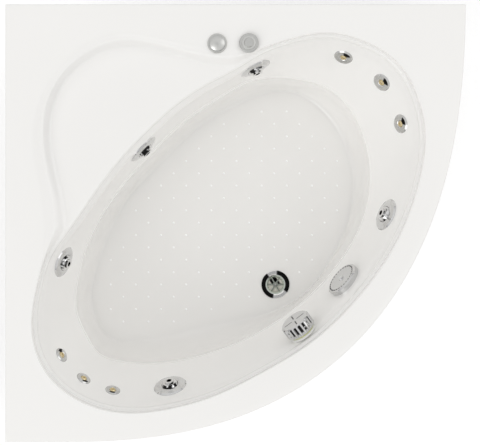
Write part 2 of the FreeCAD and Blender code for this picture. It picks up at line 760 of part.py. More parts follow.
def wall_bracket(name, at):
    """A flange on the wall and an arm out to the post. Its own Y points away from the wall."""
    body = new_body(name)
    half, tall, pitch = "bracket_length / 2", "bracket_height / 2", "bracket_pitch / 2"
    corners = [(f"-{half}", f"-{tall}"), (half, f"-{tall}"), (half, tall), (f"-{half}", tall)]
    holes = [(f"-{pitch}", "0", "bracket_hole"), (pitch, "0", "bracket_hole")]
    padded(body, name + "_flange", "bracket_wall", corners, circles=holes, plane="XZ_Plane", back=True)
    arm = "beam_side / 2 - 3"
    reach = "post_inset - beam_side / 2"
    corners = [(f"-({arm})", "bracket_wall"), (arm, "bracket_wall"), (arm, reach), (f"-({arm})", reach)]
    padded(body, name + "_arm", "bracket_wall", corners, both=True)
    body.Placement = at
    return body


bracket_height = size("rim_height - bracket_drop")
half_x, half_y = size("leg_x / 2"), size("leg_y / 2")
from_back = FreeCAD.Rotation(UP, 180)
from_left = FreeCAD.Rotation(UP, -90)
brackets = []
for index, spot in enumerate((wall_post, right_post), start=1):
    at = FreeCAD.Placement(V(spot.x, half_y, bracket_height), from_back)
    brackets.append(wall_bracket(f"back_bracket_{index}", at))
for index, spot in enumerate((wall_post, left_post), start=1):
    at = FreeCAD.Placement(V(-half_x, spot.y, bracket_height), from_left)
    brackets.append(wall_bracket(f"left_bracket_{index}", at))
grouped("wall_brackets", brackets)


def panel_bracket(spot, low):
    """A shelf from a post to the front panel, with a tab that follows the panel's inside."""
    wall, tall, side = size("bracket_wall"), size("bracket_height"), size("beam_side")
    outward = V(spot.x, spot.y, 0) - CENTRE
    turn = math.degrees(math.atan2(outward.y, outward.x))
    shelf = Part.makeBox(200, side, tall, V(0, -side / 2, 0))
    shelf.Placement = FreeCAD.Placement(V(spot.x, spot.y, low), FreeCAD.Rotation(UP, turn))
    inside = deck_face(panel_in, low).extrude(UP * tall)
    tab = shelf.common(between_fronts(panel_in, panel_in + wall, low, low + tall))
    flat = Part.makeBox(4000, 4000, wall, V(-2000, -2000, low))
    plate = shelf.common(inside).common(flat).cut(post(spot, side, low - 1, low + tall + 1))
    pieces = plate.fuse(tab).cut(post(spot, side, low - 1, low + tall + 1)).Solids
    return max(pieces, key=lambda solid: solid.Volume)


shelves = []
for spot in front_posts:
    for low in (board_low + 20, deck_low - 80):
        shelves.append(panel_bracket(spot, low))
shaped("panel_brackets", Part.makeCompound(shelves))

# ---------------------------------------------------------------- simple solids for the plumbing
ACROSS = FreeCAD.Rotation(V(0, 1, 0), 90)


def toward(direction):
    return FreeCAD.Rotation(UP, direction)


def drum(name, radius, low, high, turn=None, at=None):
    """A cylinder along its own Z between two heights, swung to another direction where asked."""
    thing = doc.addObject("Part::Cylinder", name)
    thing.setExpression("Radius", bound(radius))
    thing.setExpression("Height", bound(f"({high}) - ({low})"))
    turn = turn or FreeCAD.Rotation()
    thing.Placement = FreeCAD.Placement((at or V(0, 0, 0)) + turn.multVec(V(0, 0, size(low))), turn)
    return thing


def block(name, low, high):
    """A box between two corners, each three size texts."""
    thing = doc.addObject("Part::Box", name)
    for side, a, b in zip(("Length", "Width", "Height"), low, high):
        thing.setExpression(side, bound(f"({b}) - ({a})"))
    thing.Placement.Base = V(*[size(text) for text in low])
    return thing


def merged(name, things):
    if len(things) == 1:
        return things[0]
    whole = doc.addObject("Part::MultiFuse", name)
    whole.Shapes = things
    return whole


def hollowed(name, solids, spaces, at=None):
    """The solids together, less the spaces."""
    cut = doc.addObject("Part::Cut", name)
    cut.Base = merged(name + "_outside", solids)
    cut.Tool = merged(name + "_inside", spaces)
    if at is not None:
        cut.Placement = at
    return cut


def away_from_bowl(at):
    """The level direction from the bowl outwards, at a fitting on its wall."""
    inwards = at.Rotation.multVec(UP)
    return V(-inwards.x, -inwards.y, 0).normalize()


def own(at, direction):
    """A direction of the part's frame, as the fitting at a placement sees it."""
    return at.Rotation.inverted().multVec(direction)


# ---------------------------------------------------------------- large jets
gasket_back = "boss_depth + gasket_thick"
clamp_back = "boss_depth + gasket_thick + clamp_height"
bodies_of_jets, clamps, gaskets = [], [], []


def gasket(name, neck, outer, at):
    profile = tube_profile(f"{neck} + screw_gap", outer, f"-({gasket_back})", "-boss_depth")
    return turned(name, profile, at=at)


def clamp(name, neck, corner, at):
    low = at.multiply(FreeCAD.Placement(V(0, 0, -size(clamp_back)), FreeCAD.Rotation()))
    return nut_body(name, f"{neck} + screw_gap", corner, "clamp_height", low)


for index, at in enumerate(jet_places, start=1):
    low_bore, lip = "-ball_radius * 0.6", "ball_radius - 0.5"
    ring_profile = [
        ("ball_radius + fit", low_bore), ("ball_radius + fit", "ball_radius / 4"),
        (lip, "ball_radius / 4 + 1"), (lip, "jet_rise - 1"), ("ball_radius + 3", "jet_rise"),
        ("jet_radius - 13.5", "jet_rise"), ("jet_radius - 3.5", "jet_rise - 3.5"), ("jet_radius", "2"),
        ("jet_radius", "0"), (JET_NECK, "0"), (JET_NECK, "-neck_length"),
        ("ball_radius - 4", "-neck_length"), ("ball_radius - 4", f"{low_bore} - 2"),
    ]
    ring_profile = [(x.replace("fit", "seat_gap"), y) for x, y in ring_profile]
    made(f"jet_ring_{index}", turned(f"jet_ring_{index}", ring_profile, at=at))
    ball = [
        ("tip_bore", "-ball_radius / 2"), (None, "-ball_radius / 2"), (None, "ball_radius * 0.62"),
        ("tip_radius", "ball_radius * 0.62 + 1"), ("tip_radius", "tip_rise"), ("tip_bore", "tip_rise"),
    ]
    made(f"jet_nozzle_{index}", turned(f"jet_nozzle_{index}", ball, arcs={1: ("0", "ball_radius")}, at=at))
    name = f"jet_body_{index}"
    middle = V(0, 0, -size("tee_reach"))
    socket = f"-({clamp_back}) - 2"
    solids = [
        drum(name + "_socket", f"{JET_NECK} + 4", "-tee_reach", socket),
        drum(name + "_tee", "tee_radius", "-tee_length / 2", "tee_length / 2", ACROSS, middle),
    ]
    spaces = [
        drum(name + "_seat", f"{JET_NECK} + screw_gap", "-neck_length - 1", socket),
        drum(name + "_throat", "ball_radius / 2", "-tee_reach", "-neck_length"),
        drum(name + "_bore", "pipe_radius - pipe_wall", "-tee_length", "tee_length", ACROSS, middle),
    ]
    bodies_of_jets.append(hollowed(name, solids, spaces, at))
    clamps.append(clamp(f"jet_nut_{index}", JET_NECK, f"{JET_NECK} + 10", at))
    gaskets.append(gasket(f"jet_gasket_{index}", JET_NECK, f"{JET_NECK} + 9", at))
grouped("jet_bodies", bodies_of_jets)
grouped("jet_nuts", clamps)

# ---------------------------------------------------------------- small jets
small_clamps, small_bodies, small_nozzles = [], [], []


def small_jets(kind, places, cover):
    """Cover discs of one size, their brass nozzles, nuts, gaskets and pipe sockets."""
    covers = []
    for index, at in enumerate(places, start=1):
        name = f"{kind}_{index}"
        profile = [
            ("small_nozzle + screw_gap", "-neck_length"), (SMALL_NECK, "-neck_length"), (SMALL_NECK, "0"),
            (cover, "0"), (cover, "1.5"), (f"{cover} - 4", "small_rise"),
            ("small_nozzle + 2.5", "small_rise"), ("small_nozzle + screw_gap", "small_rise - 1.5"),
        ]
        covers.append(turned(name + "_face", profile, at=at))
        nozzle = [
            ("small_bore", "-neck_length + 4"), ("small_nozzle", "-neck_length + 4"),
            ("small_nozzle", "small_rise - 1"), ("small_nozzle - 2.5", "small_rise + 1.5"),
            ("small_bore + 1", "small_rise + 1.5"), ("small_bore", "small_rise"),
        ]
        small_nozzles.append(turned(name + "_nozzle", nozzle, at=at))
        middle = V(0, 0, -size("tee_reach"))
        socket = f"-({clamp_back}) - 2"
        solids = [
            drum(name + "_socket", f"{SMALL_NECK} + 4", "-tee_reach", socket),
            drum(name + "_tee", "tee_radius", "-small_tee / 2", "small_tee / 2", ACROSS, middle),
        ]
        spaces = [
            drum(name + "_seat", f"{SMALL_NECK} + screw_gap", "-neck_length - 1", socket),
            drum(name + "_throat", "small_nozzle - 1", "-tee_reach", "-neck_length"),
            drum(name + "_bore", "pipe_radius - pipe_wall", "-tee_length", "tee_length", ACROSS, middle),
        ]
        small_bodies.append(hollowed(name + "_body", solids, spaces, at))
        small_clamps.append(clamp(name + "_nut", SMALL_NECK, f"{SMALL_NECK} + 8", at))
        gaskets.append(gasket(name + "_gasket", SMALL_NECK, f"{SMALL_NECK} + 6", at))
    grouped(f"{kind}_faces", covers)


small_jets("back_jet", back_places, "back_radius")
small_jets("foot_jet", foot_places, "toe_radius")
grouped("small_jet_nozzles", small_nozzles)
grouped("small_jet_bodies", small_bodies)
grouped("small_jet_nuts", small_clamps)

# ---------------------------------------------------------------- suction
cover_wall = 4
cover_body = turned("suction_cover", [
    (f"suction_radius - {cover_wall}", "0"), ("suction_radius", "0"), ("suction_radius", "suction_rise - 3"),
    ("suction_radius - 3", "suction_rise"), ("4", "suction_rise"), ("4", f"suction_rise - {cover_wall}"),
    (f"suction_radius - {cover_wall}", f"suction_rise - {cover_wall}"),
], at=suction_place)
first_hole = pocketed(cover_body, "strainer_holes", "4 * suction_rise", circles=[("strainer_ring", "0", "strainer_hole")],
                      both=True)
repeated(cover_body, first_hole, 28)
made("suction_cover", cover_body)
made("suction_screw", turned("suction_screw", [
    ("0", "-8"), ("3.5", "-8"), ("3.5", "suction_rise"), ("8", "suction_rise"), ("8", "suction_rise + 2"),
    ("6", "suction_rise + 3.5"), ("0", "suction_rise + 3.5"),
], at=suction_place))
NECK = "suction_neck"
elbow = V(0, 0, -size("tee_reach"))
fall = toward(own(suction_place, V(0, 0, -1)))
spoke = block("suction_spoke", (f"-{NECK}", "-3", "-6"), (NECK, "3", "0"))
made("suction_body", hollowed("suction_body", [
    drum("suction_flange", f"{NECK} + 12", "0", "4"),
    drum("suction_barrel", NECK, "-neck_length", "4"),
    drum("suction_chamber", f"{NECK} + 5", "-tee_reach - suction_pipe - 4", "-neck_length"),
    drum("suction_port", "suction_pipe + 4", "0", f"{NECK} + 25", fall, elbow),
], [
    drum("suction_mouth", f"{NECK} - 4", "-2", "5"),
    drum("suction_throat", f"{NECK} - 4", "-tee_reach - suction_pipe", "-8"),
    drum("suction_down", "suction_pipe - 3", "0", "4 * suction_pipe", fall, elbow),
    drum("suction_thread", "3.55", "-9", "5"),
] + [drum(f"suction_web_{n}", "7", "-9", "0", at=V(15 * math.cos(n * 2.0944), 15 * math.sin(n * 2.0944), 0)) for n in range(3)],
    suction_place))
made("suction_nut", clamp("suction_nut", NECK, f"{NECK} + 12", suction_place))
gaskets.append(gasket("suction_gasket", NECK, f"{NECK} + 10", suction_place))

# ---------------------------------------------------------------- overflow and its turning knob
HOLE_RING = "overflow_neck - 6"
rosette = turned("overflow_rosette", [
    ("shaft_radius + seat_gap", f"-({clamp_back}) - 14"), ("overflow_neck", f"-({clamp_back}) - 14"),
    ("overflow_neck", "0"), ("knob_radius - 4", "0"), ("knob_radius - 4", "4"), ("knob_radius - 6", "6"),
    ("shaft_radius + seat_gap", "6"),
], at=knob_place)
slot = pocketed(rosette, "overflow_slots", "200", circles=[(HOLE_RING, "0", "3.5")], both=True)
repeated(rosette, slot, 6)
made("overflow_rosette", rosette)
made("overflow_seal", turned("overflow_seal", tube_profile("knob_radius - 14", "knob_radius - 7", "6", "8"), at=knob_place))
KNOB_TOP = "knob_stand + knob_length"
knob = turned("overflow_knob", [
    ("0", "-20"), ("shaft_radius", "-20"), ("shaft_radius", "knob_stand"), ("knob_radius - 3", "knob_stand"),
    ("knob_radius", "knob_stand + 3"), ("knob_radius", f"{KNOB_TOP} - 5"), ("knob_radius - 4", KNOB_TOP),
    ("0", KNOB_TOP),
], at=knob_place)
flute = pocketed(knob, "knob_flutes", "400", circles=[("knob_radius + 1", "0", "flute_radius")], both=True)
repeated(knob, flute, 20)
made("overflow_knob", knob)
overflow_down = toward(own(knob_place, V(0, 0, -1)))
body_low = f"-({clamp_back}) - 36"
port_middle = V(0, 0, size(f"-({clamp_back}) - 22"))
made("overflow_body", hollowed("overflow_body", [
    drum("overflow_drum", "overflow_neck + 10", body_low, f"-({gasket_back})"),
    drum("overflow_port", "overflow_hose + 3", "0", "overflow_neck + 24", overflow_down, port_middle),
], [
    drum("overflow_socket", "overflow_neck + screw_gap", f"-({clamp_back}) - 15", f"-({gasket_back})"),
    drum("overflow_hollow", "overflow_neck + 5", f"{body_low} + 4", f"-({clamp_back}) - 14"),
    drum("overflow_drain", "overflow_hose - hose_wall", "0", "200", overflow_down, port_middle),
], knob_place))
gaskets.append(gasket("overflow_gasket", "overflow_neck", "overflow_neck + 9", knob_place))

# ---------------------------------------------------------------- waste, lift pin and trap
flange = turned("waste_flange", [
    ("waste_stem - 4", "-36"), ("waste_stem", "-36"), ("waste_stem", "0"), ("waste_radius", "0"),
    ("waste_radius", "waste_rise - 1.5"), ("waste_radius - 1.5", "waste_rise"), ("waste_radius - 10", "waste_rise"),
    ("waste_radius - 12", "waste_rise - 1.5"), ("waste_stem - 1", "1.2"), ("waste_stem - 4", "-1.5"),
], at=waste_place)
hub = padded(flange, "waste_hub", "24", circles=[("0", "0", "pin_radius + 3.5"), ("0", "0", "pin_radius + seat_gap")],
             back=True)
arm = padded(flange, "waste_spoke", "4", corners=[
    ("pin_radius + 3", "-2"), ("waste_stem - 3.5", "-2"), ("waste_stem - 3.5", "2"), ("pin_radius + 3", "2")], back=True)
repeated(flange, arm, 6)
made("waste_flange", flange)
gasket_low = "-shell_wall - gasket_thick"
made("waste_gasket", turned("waste_gasket", tube_profile(
    "waste_stem + screw_gap", "waste_stem + 9", gasket_low, "-shell_wall"), at=waste_place))
made("waste_lift_pin", turned("waste_lift_pin", [
    ("0", "-50"), ("pin_radius", "-50"), ("pin_radius", "-7"), ("pin_radius - 1", "-6"), ("0", "-6")], at=waste_place))
port_height = -38
drain_at = waste_place.Base
overflow_start = knob_place.multVec(port_middle) - UP * size("overflow_neck + 24")
aside = V(overflow_start.x - drain_at.x, overflow_start.y - drain_at.y, 0).normalize()
side_port = V(0, 0, port_height)
made("waste_body", hollowed("waste_body", [
    drum("waste_drum", "waste_stem + 8", "-waste_length", gasket_low),
    drum("waste_side", "overflow_hose + 2", "0", "waste_stem + 24", toward(aside), side_port),
], [
    drum("waste_socket", "waste_stem + screw_gap", "-37", gasket_low),
    drum("waste_hollow", "waste_stem - 3", "-waste_length + 4", "-36"),
    drum("waste_outlet", "trap_radius - 2", "-waste_length", "-waste_length + 5"),
    drum("waste_side_bore", "overflow_hose - hose_wall", "10", "waste_stem + 24", toward(aside), side_port),
], waste_place))

waste_low = drain_at - UP * size("waste_length")
trap_low, trap_high = size("trap_radius + 25"), size("trap_radius * 2 + 70")
out_left = V(-1, 0, 0)
bend = [
    waste_low, V(drain_at.x, drain_at.y, trap_low), V(drain_at.x, drain_at.y, trap_low) + out_left * 95,
    V(drain_at.x, drain_at.y, trap_high) + out_left * 95, V(drain_at.x, drain_at.y, trap_high) + out_left * 235,
]
shaped("trap", tube(bend, size("trap_radius"), size("trap_radius - 2")))
made("trap_nut", nut_body("trap_nut", "trap_radius + screw_gap", "trap_radius + 9", "14", upright(waste_low, waste_low.z - 14)))

port_end = drain_at + side_port + aside * size("waste_stem + 24")
knee = V(overflow_start.x, overflow_start.y, port_end.z)
shaped("overflow_hose", tube([overflow_start, knee, port_end], size("overflow_hose"), size("overflow_hose - hose_wall")))
wire_radius = 3
beside_hose = UP.cross(aside)
wire_side = size("overflow_hose + 3 + 6")
wire_start = knob_place.multVec(port_middle) + beside_hose * wire_side - UP * 22
wire_end = drain_at + UP * (-size("waste_length") + 8)
wire_end += aside * (math.sqrt(size("waste_stem + 8") ** 2 - 17**2) + 0.2) + beside_hose * 20
wire_knee = V(wire_start.x, wire_start.y, wire_end.z)
shaped("overflow_cable", tube([wire_start, wire_knee, wire_end], wire_radius))

# ---------------------------------------------------------------- controls on the deck
CONTROL_LOW = "-shell_wall - control_reach"


def control_profile(bezel, bore):
    return [
        (bore, CONTROL_LOW), ("control_neck", CONTROL_LOW), ("control_neck", "0"), (bezel, "0"),
        (bezel, "2"), (f"{bezel} - 1.5", "3.5"), (bore, "3.5"),
    ]


made("start_button_body", turned("start_button_body", [
    ("7 + seat_gap", CONTROL_LOW), ("control_neck", CONTROL_LOW), ("control_neck", "0"), ("button_radius", "0"),
    ("button_radius", "2"), ("button_radius - 2", "5"), ("cap_radius + seat_gap", "5"),
    ("cap_radius + seat_gap", "2"), ("control_neck - 3", "2"), ("control_neck - 3", "-24"), ("7 + seat_gap", "-24"),
], at=button_place))
made("start_button", turned("start_button", [
    ("0", "-34"), ("7", "-34"), ("7", "cap_travel + 2.3"), ("cap_radius", "cap_travel + 2.3"),
    (None, "cap_travel + 4"), ("0", None),
], arcs={4: ("-28 + cap_travel", "sqrt(cap_radius ^ 2 + 32 ^ 2)")}, at=button_place))
made("air_knob_body", turned("air_knob_body", control_profile("air_knob - 2", "5 + seat_gap"), at=air_knob_place))
made("air_knob", turned("air_knob", [
    ("0", "-30"), ("5", "-30"), ("5", "4"), ("air_knob", "4"), ("air_knob", "9"), ("air_knob - 2", "11"),
    ("air_knob - 7", "11"), ("air_knob - 8", "15"), ("air_knob - 13", "16"), ("air_knob - 15", "20"), ("0", "20"),
], at=air_knob_place))
control_nuts = []
for index, (at, _) in enumerate(controls, start=1):
    low = at.multiply(FreeCAD.Placement(V(0, 0, -size("shell_wall + clamp_height")), FreeCAD.Rotation()))
    name = f"control_nut_{index}"
    control_nuts.append(nut_body(name, "control_neck + screw_gap", "control_neck + control_ring", "clamp_height", low))
grouped("rim_control_nuts", control_nuts)
grouped("shell_gaskets", gaskets)

# ---------------------------------------------------------------- water pipes
def beside(bearing, depth):
    """The water pipe's line behind the bowl's wall."""
    return on_wall(bearing, depth).multVec(V(0, 0, -size("tee_reach")))


RISER_BEARING = 111
riser_tee = beside(RISER_BEARING, size("jet_depth"))


def socket(at, length, side):
    """The end of a pipe socket and its direction. Side +1 is anticlockwise seen from above."""
    middle = at.multVec(V(0, 0, -size("tee_reach")))
    heading = at.Rotation.multVec(V(1, 0, 0))
    around = UP.cross(V(middle.x, middle.y, 0) - CENTRE)
    if heading.dot(around) * side < 0:
        heading = heading * -1
    return middle + heading * (size(length) / 2), heading


riser_flow = UP.cross(V(riser_tee.x, riser_tee.y, 0) - CENTRE).normalize()


def pipe_between(first, second, between, depth):
    """A pipe from a socket anticlockwise to the next, along bearings behind the wall."""
    (start, away), (end, back) = first, second
    lead = 18
    points = [start, start + away * lead]
    points += [beside(bearing, depth) for bearing in between]
    points += [end + back * lead, end]
    return tube(points, size("pipe_radius"), size("pipe_radius - pipe_wall"))


riser_ends = {}
for side in (1, -1):
    riser_ends[side] = (riser_tee + riser_flow * (side * size("tee_length") / 2), riser_flow * side)
stops = [(b, at, "tee_length") for b, at in zip(JET_BEARINGS, jet_places)]
stops += [(b, at, "small_tee") for b, at in zip(BACK_BEARINGS + FOOT_BEARINGS, back_places + foot_places)]
stops = sorted(stops, key=lambda stop: stop[0])
STEP = 11
pipes = []
for (b, at, length), (next_b, next_at, next_length) in zip(stops, stops[1:]):
    if b < RISER_BEARING < next_b:
        spans = [(b, socket(at, length, 1), RISER_BEARING, riser_ends[-1]),
                 (RISER_BEARING, riser_ends[1], next_b, socket(next_at, next_length, -1))]
    else:
        spans = [(b, socket(at, length, 1), next_b, socket(next_at, next_length, -1))]
    for from_b, start, to_b, end in spans:
        count = int((to_b - from_b - 10) // STEP)
        between = [from_b + (to_b - from_b) * (n + 1) / (count + 1) for n in range(max(count, 0))]
        pipes.append(pipe_between(start, end, between, size("jet_depth")))

volute_top = size("pump_axis + volute_radius + 20")
tee_shell = Part.makeCylinder(size("tee_radius"), size("tee_length"), riser_ends[-1][0], riser_flow)
drop_shell = Part.makeCylinder(size("tee_radius - 1"), size("tee_radius + 14"), riser_tee, V(0, 0, -1))
inner = size("pipe_radius - pipe_wall")
tee_bore = Part.makeCylinder(inner, size("tee_length"), riser_ends[-1][0], riser_flow)
drop_bore = Part.makeCylinder(inner - 1, size("tee_radius + 14"), riser_tee, V(0, 0, -1))
pipes.append(tee_shell.fuse(drop_shell).cut([tee_bore, drop_bore]))
riser_low = V(riser_tee.x, riser_tee.y, volute_top)
pipes.append(tube([riser_tee - UP * size("tee_radius + 14"), riser_low], size("pipe_radius"), inner))
for end, away in (socket(jet_places[3], "tee_length", -1), socket(jet_places[4], "tee_length", 1)):
    pipes.append(Part.makeCylinder(size("tee_radius"), 6, end, away))
shaped("manifold_pipes", Part.makeCompound(pipes))

# ---------------------------------------------------------------- pump
pump_turn = FreeCAD.Rotation(V(0, 1, 0), UP, V(1, 0, 0), "ZXY")
pump_place = FreeCAD.Placement(V(riser_tee.x, riser_tee.y, size("pump_axis")), pump_turn)
ABOVE = toward(V(0, 1, 0))
HALF = "volute_length / 2"
STAND = "-(pump_axis - base_thick)"
made("pump_volute", hollowed("pump_volute", [
    drum("volute_drum", "volute_radius", f"-{HALF}", HALF),
    drum("volute_inlet", "suction_pipe + 3", "0", f"{HALF} + 20"),
    drum("volute_outlet", "pipe_radius + 4", "0", "volute_radius + 20", ABOVE),
    block("volute_stand", ("-40", STAND, "-15"), ("40", "-volute_radius / 2", "15")),
], [
    drum("volute_space", "volute_radius - 8", f"-{HALF} + 8", f"{HALF} - 8"),
    drum("inlet_bore", "suction_pipe - 3", "0", f"{HALF} + 20"),
    drum("outlet_bore", "pipe_radius - pipe_wall", "0", "volute_radius + 20", ABOVE),
    drum("shaft_bore", "shaft_radius + seat_gap", f"-{HALF}", "0"),
], pump_place))
made("pump_motor", hollowed("pump_motor", [
    drum("motor_drum", "motor_radius", f"-{HALF} - motor_length", f"-{HALF} - 8"),
    drum("motor_face", "motor_radius * 0.7", f"-{HALF} - 8", f"-{HALF}"),
    block("motor_stand", ("-45", STAND, f"-{HALF} - motor_length + 20"), ("45", "-motor_radius / 2", f"-{HALF} - 30")),
    drum("motor_terminals", "20", "0", "motor_radius + 8", toward(V(-1, 0, 0)),
         V(0, 20, -size(f"{HALF} + motor_length / 2"))),
], [
    drum("motor_bore", "shaft_radius + seat_gap", f"-{HALF} - motor_length * 0.6", f"-{HALF}"),
], pump_place))
rotor = turned("pump_rotor", [
    ("0", f"-{HALF} - motor_length * 0.5"), ("shaft_radius", f"-{HALF} - motor_length * 0.5"),
    ("shaft_radius", "-14"), ("volute_radius - 16", "-14"), ("volute_radius - 16", "-9"), ("12", "-4"),
    ("12", "14"), ("0", "14"),
], at=pump_place)
blade = padded(rotor, "rotor_blade", "14", corners=[
    ("11", "-2"), ("volute_radius - 18", "-2"), ("volute_radius - 18", "2"), ("11", "2")], both=True)
repeated(rotor, blade, 6)
made("pump_rotor", rotor)

pump_at = pump_place.Base
motor_end = size(f"{HALF} + motor_length")
base_box = Part.makeBox(motor_end + 110, 270, size("base_thick"), V(pump_at.x - motor_end - 30, pump_at.y - 175, 0))
shaped("pump_base", base_box)

box_x, box_y, box_z = 150, 55, 110
box_at = V(pump_at.x - motor_end + 20, pump_at.y - 165, size("base_thick"))
case = Part.makeBox(box_x, box_y, box_z, box_at)
case = case.makeFillet(5, [e for e in case.Edges if abs(e.Vertexes[0].Z - e.Vertexes[-1].Z) > 10])
shaped("control_box", case)
gland_at = box_at + V(box_x / 2, 0, 70)
gland = Part.makeCylinder(11, 16, gland_at, V(0, -1, 0)).cut(Part.makeCylinder(4.5, 16, gland_at, V(0, -1, 0)))
shaped("cable_gland", gland)
lead_start = pump_place.multVec(V(-size("motor_radius") - 8, 20, -size(f"{HALF} + motor_length / 2")))
shaped("motor_lead", tube([
    lead_start, lead_start + V(0, -14, 0), V(lead_start.x, box_at.y + box_y / 2, box_at.z + box_z + 24),
    V(lead_start.x, box_at.y + box_y / 2, box_at.z + box_z)], 4))

stub = pump_place.multVec(V(0, 0, size(f"{HALF} + 20")))
suction_end = suction_place.multVec(elbow) - UP * size(f"{NECK} + 25")
inwards = (CENTRE - V(suction_end.x, suction_end.y, 0)).normalize() * size("2 * suction_pipe")
corner = V(suction_end.x, suction_end.y, pump_at.z) + inwards
run = [
    stub, stub + V(130, 0, 0), corner, V(corner.x, corner.y, suction_end.z - 80),
    suction_end - UP * 20, suction_end,
]
shaped("suction_pipe", tube(run, size("suction_pipe"), size("suction_pipe - 3")))

# ---------------------------------------------------------------- air
regulator = air_knob_place.Base + UP * size(CONTROL_LOW)
port = V(riser_tee.x, riser_tee.y + size("pipe_radius"), riser_tee.z - 80)
over = V((regulator.x + port.x) / 2 + 12, regulator.y + 33, regulator.z - 27)
air_points = [
    regulator, regulator - UP * 16, over, V(port.x + 30, regulator.y - 7, riser_tee.z - 40), port + V(0, 47, 0), port,
]
shaped("air_hose", tube(air_points, size("air_radius"), size("air_radius - hose_wall")))
button_low = button_place.Base + UP * size(CONTROL_LOW)
signal = [
    button_low, V(button_low.x, button_low.y, 170), V(button_low.x, box_at.y + box_y / 2, 150),
    V(box_at.x + box_x + 60, box_at.y + box_y / 2, box_at.z + 60),
    V(box_at.x + box_x, box_at.y + box_y / 2, box_at.z + 60),
]
shaped("button_air_tube", tube(signal, 3, 1.8))

# ---------------------------------------------------------------- checked and written
doc.recompute()
for thing in doc.Objects:
    if any(word in thing.State for word in ("Invalid", "Error")):
        raise ValueError(f"{thing.Name} has a fault: {thing.State}")
for label, thing in nodes.items():
    if thing.Shape.isNull() or not thing.Shape.isValid():
        raise ValueError(f"{label} isn't a valid shape")

os.makedirs("parts", exist_ok=True)
for label, thing in nodes.items():
    thing.Shape.exportStep(f"parts/{label}.step")
print(len(nodes), "nodes written")
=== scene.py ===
import json
import math

import bpy
import numpy as np
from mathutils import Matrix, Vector


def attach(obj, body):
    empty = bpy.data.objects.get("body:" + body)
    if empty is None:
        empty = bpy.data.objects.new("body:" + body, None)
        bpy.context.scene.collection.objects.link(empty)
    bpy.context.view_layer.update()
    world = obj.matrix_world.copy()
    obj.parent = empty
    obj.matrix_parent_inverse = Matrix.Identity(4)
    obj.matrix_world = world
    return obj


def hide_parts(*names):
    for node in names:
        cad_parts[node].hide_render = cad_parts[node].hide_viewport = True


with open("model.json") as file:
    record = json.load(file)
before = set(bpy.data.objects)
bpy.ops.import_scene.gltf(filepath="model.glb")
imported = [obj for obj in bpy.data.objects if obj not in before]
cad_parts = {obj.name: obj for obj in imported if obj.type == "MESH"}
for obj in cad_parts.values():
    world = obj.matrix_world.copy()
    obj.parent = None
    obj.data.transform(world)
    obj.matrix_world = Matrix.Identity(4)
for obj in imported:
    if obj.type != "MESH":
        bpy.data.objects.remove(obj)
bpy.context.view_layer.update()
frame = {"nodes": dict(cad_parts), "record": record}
nodes = frame["nodes"]

# ---------------------------------------------------------------- sizes of the bath, in millimetres
# Plan places are (across from the left wall, out from the back wall); depths are measured down from the rim.
LEG_X, LEG_Y, TOP = 1250, 1188, 630
BOWL_DEPTH, LEDGE_DEPTH, LEDGE_WIDTH = 410, 230, 5
SEAT_DROP, SEAT_CROWN, WALL = 24, 1.2, 6
LIP, LIP_RINGS = 38, (24, 12)
EDGE_ROUND, EDGE_FLAT = 4, 6
STEP_ROUND, STEP_WIDTH_MIN = 1.5, 2
STEP_TOP_SHARE, STEP_TOP_FALL = 0.42, 0.08
MOUTH_FLARE, MOUTH_ROUND, MOUTH_SOFTNESS = 8, 14, 3.0
SHOULDER_INSET, SHOULDER_DEPTH, SHOULDER_BEND = 12, 60, 0.4
LEDGE_ROUNDING = ((5, 0), (4.2, 2.2), (3, 3.9), (1.6, 4.9), (0.6, 6.2), (0.1, 8), (0, 10))
FRONT_CENTRE, FRONT_POWER = (138, -60), 2.51
CENTRE = (596, 572)
WASTE, WASTE_HOLE = (749, 784), 29
DOT_RADIUS, DOT_HEIGHT, DOT_SINK = 3.0, 1.5, 0.2
DOT_RINGS, DOT_SIDES = 4, 14
DOTS_FROM_WALL, DOTS_FROM_WASTE = 34, 66

# The picture's size in pixels, the pixel and the plan place right under the camera, the camera's height over
# the rim, and the millimetres per pixel at the rim and at the bowl's floor.
PICTURE_WIDTH, PICTURE_HEIGHT, NADIR_PIXEL = 480, 446, (232, 220)
NADIR, CAMERA_OVER_RIM = (615.2, 585.4), 3000
SCALE_AT_RIM, SCALE_AT_FLOOR = 2.7103, 3.081

DECK_EDGE = [
    (881, 81), (962, 100), (1038, 138), (1095, 201), (1127, 276), (1138, 369), (1125, 463), (1092, 572),
    (1043, 675), (976, 770), (894, 859), (800, 936), (691, 1001), (569, 1061), (447, 1096), (325, 1107),
    (217, 1080), (133, 1022), (84, 943), (73, 856), (87, 762), (103, 680), (104, 607), (95, 518), (79, 423),
    (76, 325), (100, 244), (154, 163), (225, 104), (312, 77), (407, 88), (501, 108), (596, 121), (697, 115),
    (786, 92),
]
SEAT_EDGE = [
    (626, 166), (588, 167), (541, 162), (473, 141), (405, 124), (337, 115), (276, 125), (214, 157),
    (162, 206), (132, 269), (123, 334), (129, 408), (145, 476), (160, 539), (167, 615),
]
RIM = [
    (697, 131), (787, 99), (882, 87), (958, 105), (1029, 141), (1084, 201), (1116, 275), (1130, 368),
    (1118, 460), (1085, 569), (1036, 670), (969, 765), (888, 854), (794, 930), (686, 994), (566, 1053),
    (446, 1088), (324, 1099), (220, 1073), (140, 1017), (94, 941), (81, 858), (95, 765), (119, 689),
    (169, 615), (228, 531), (310, 421), (392, 335), (474, 263), (555, 211), (626, 173),
]
LEDGE = [
    (825, 178), (749, 170), (662, 184), (580, 228), (493, 286), (405, 367), (318, 460), (245, 559),
    (195, 655), (166, 761), (163, 854), (188, 915), (230, 975), (303, 1000), (391, 1004), (522, 981),
    (639, 939), (755, 874), (849, 798), (936, 696), (995, 585), (1018, 469), (1006, 367), (965, 270),
    (901, 206),
]
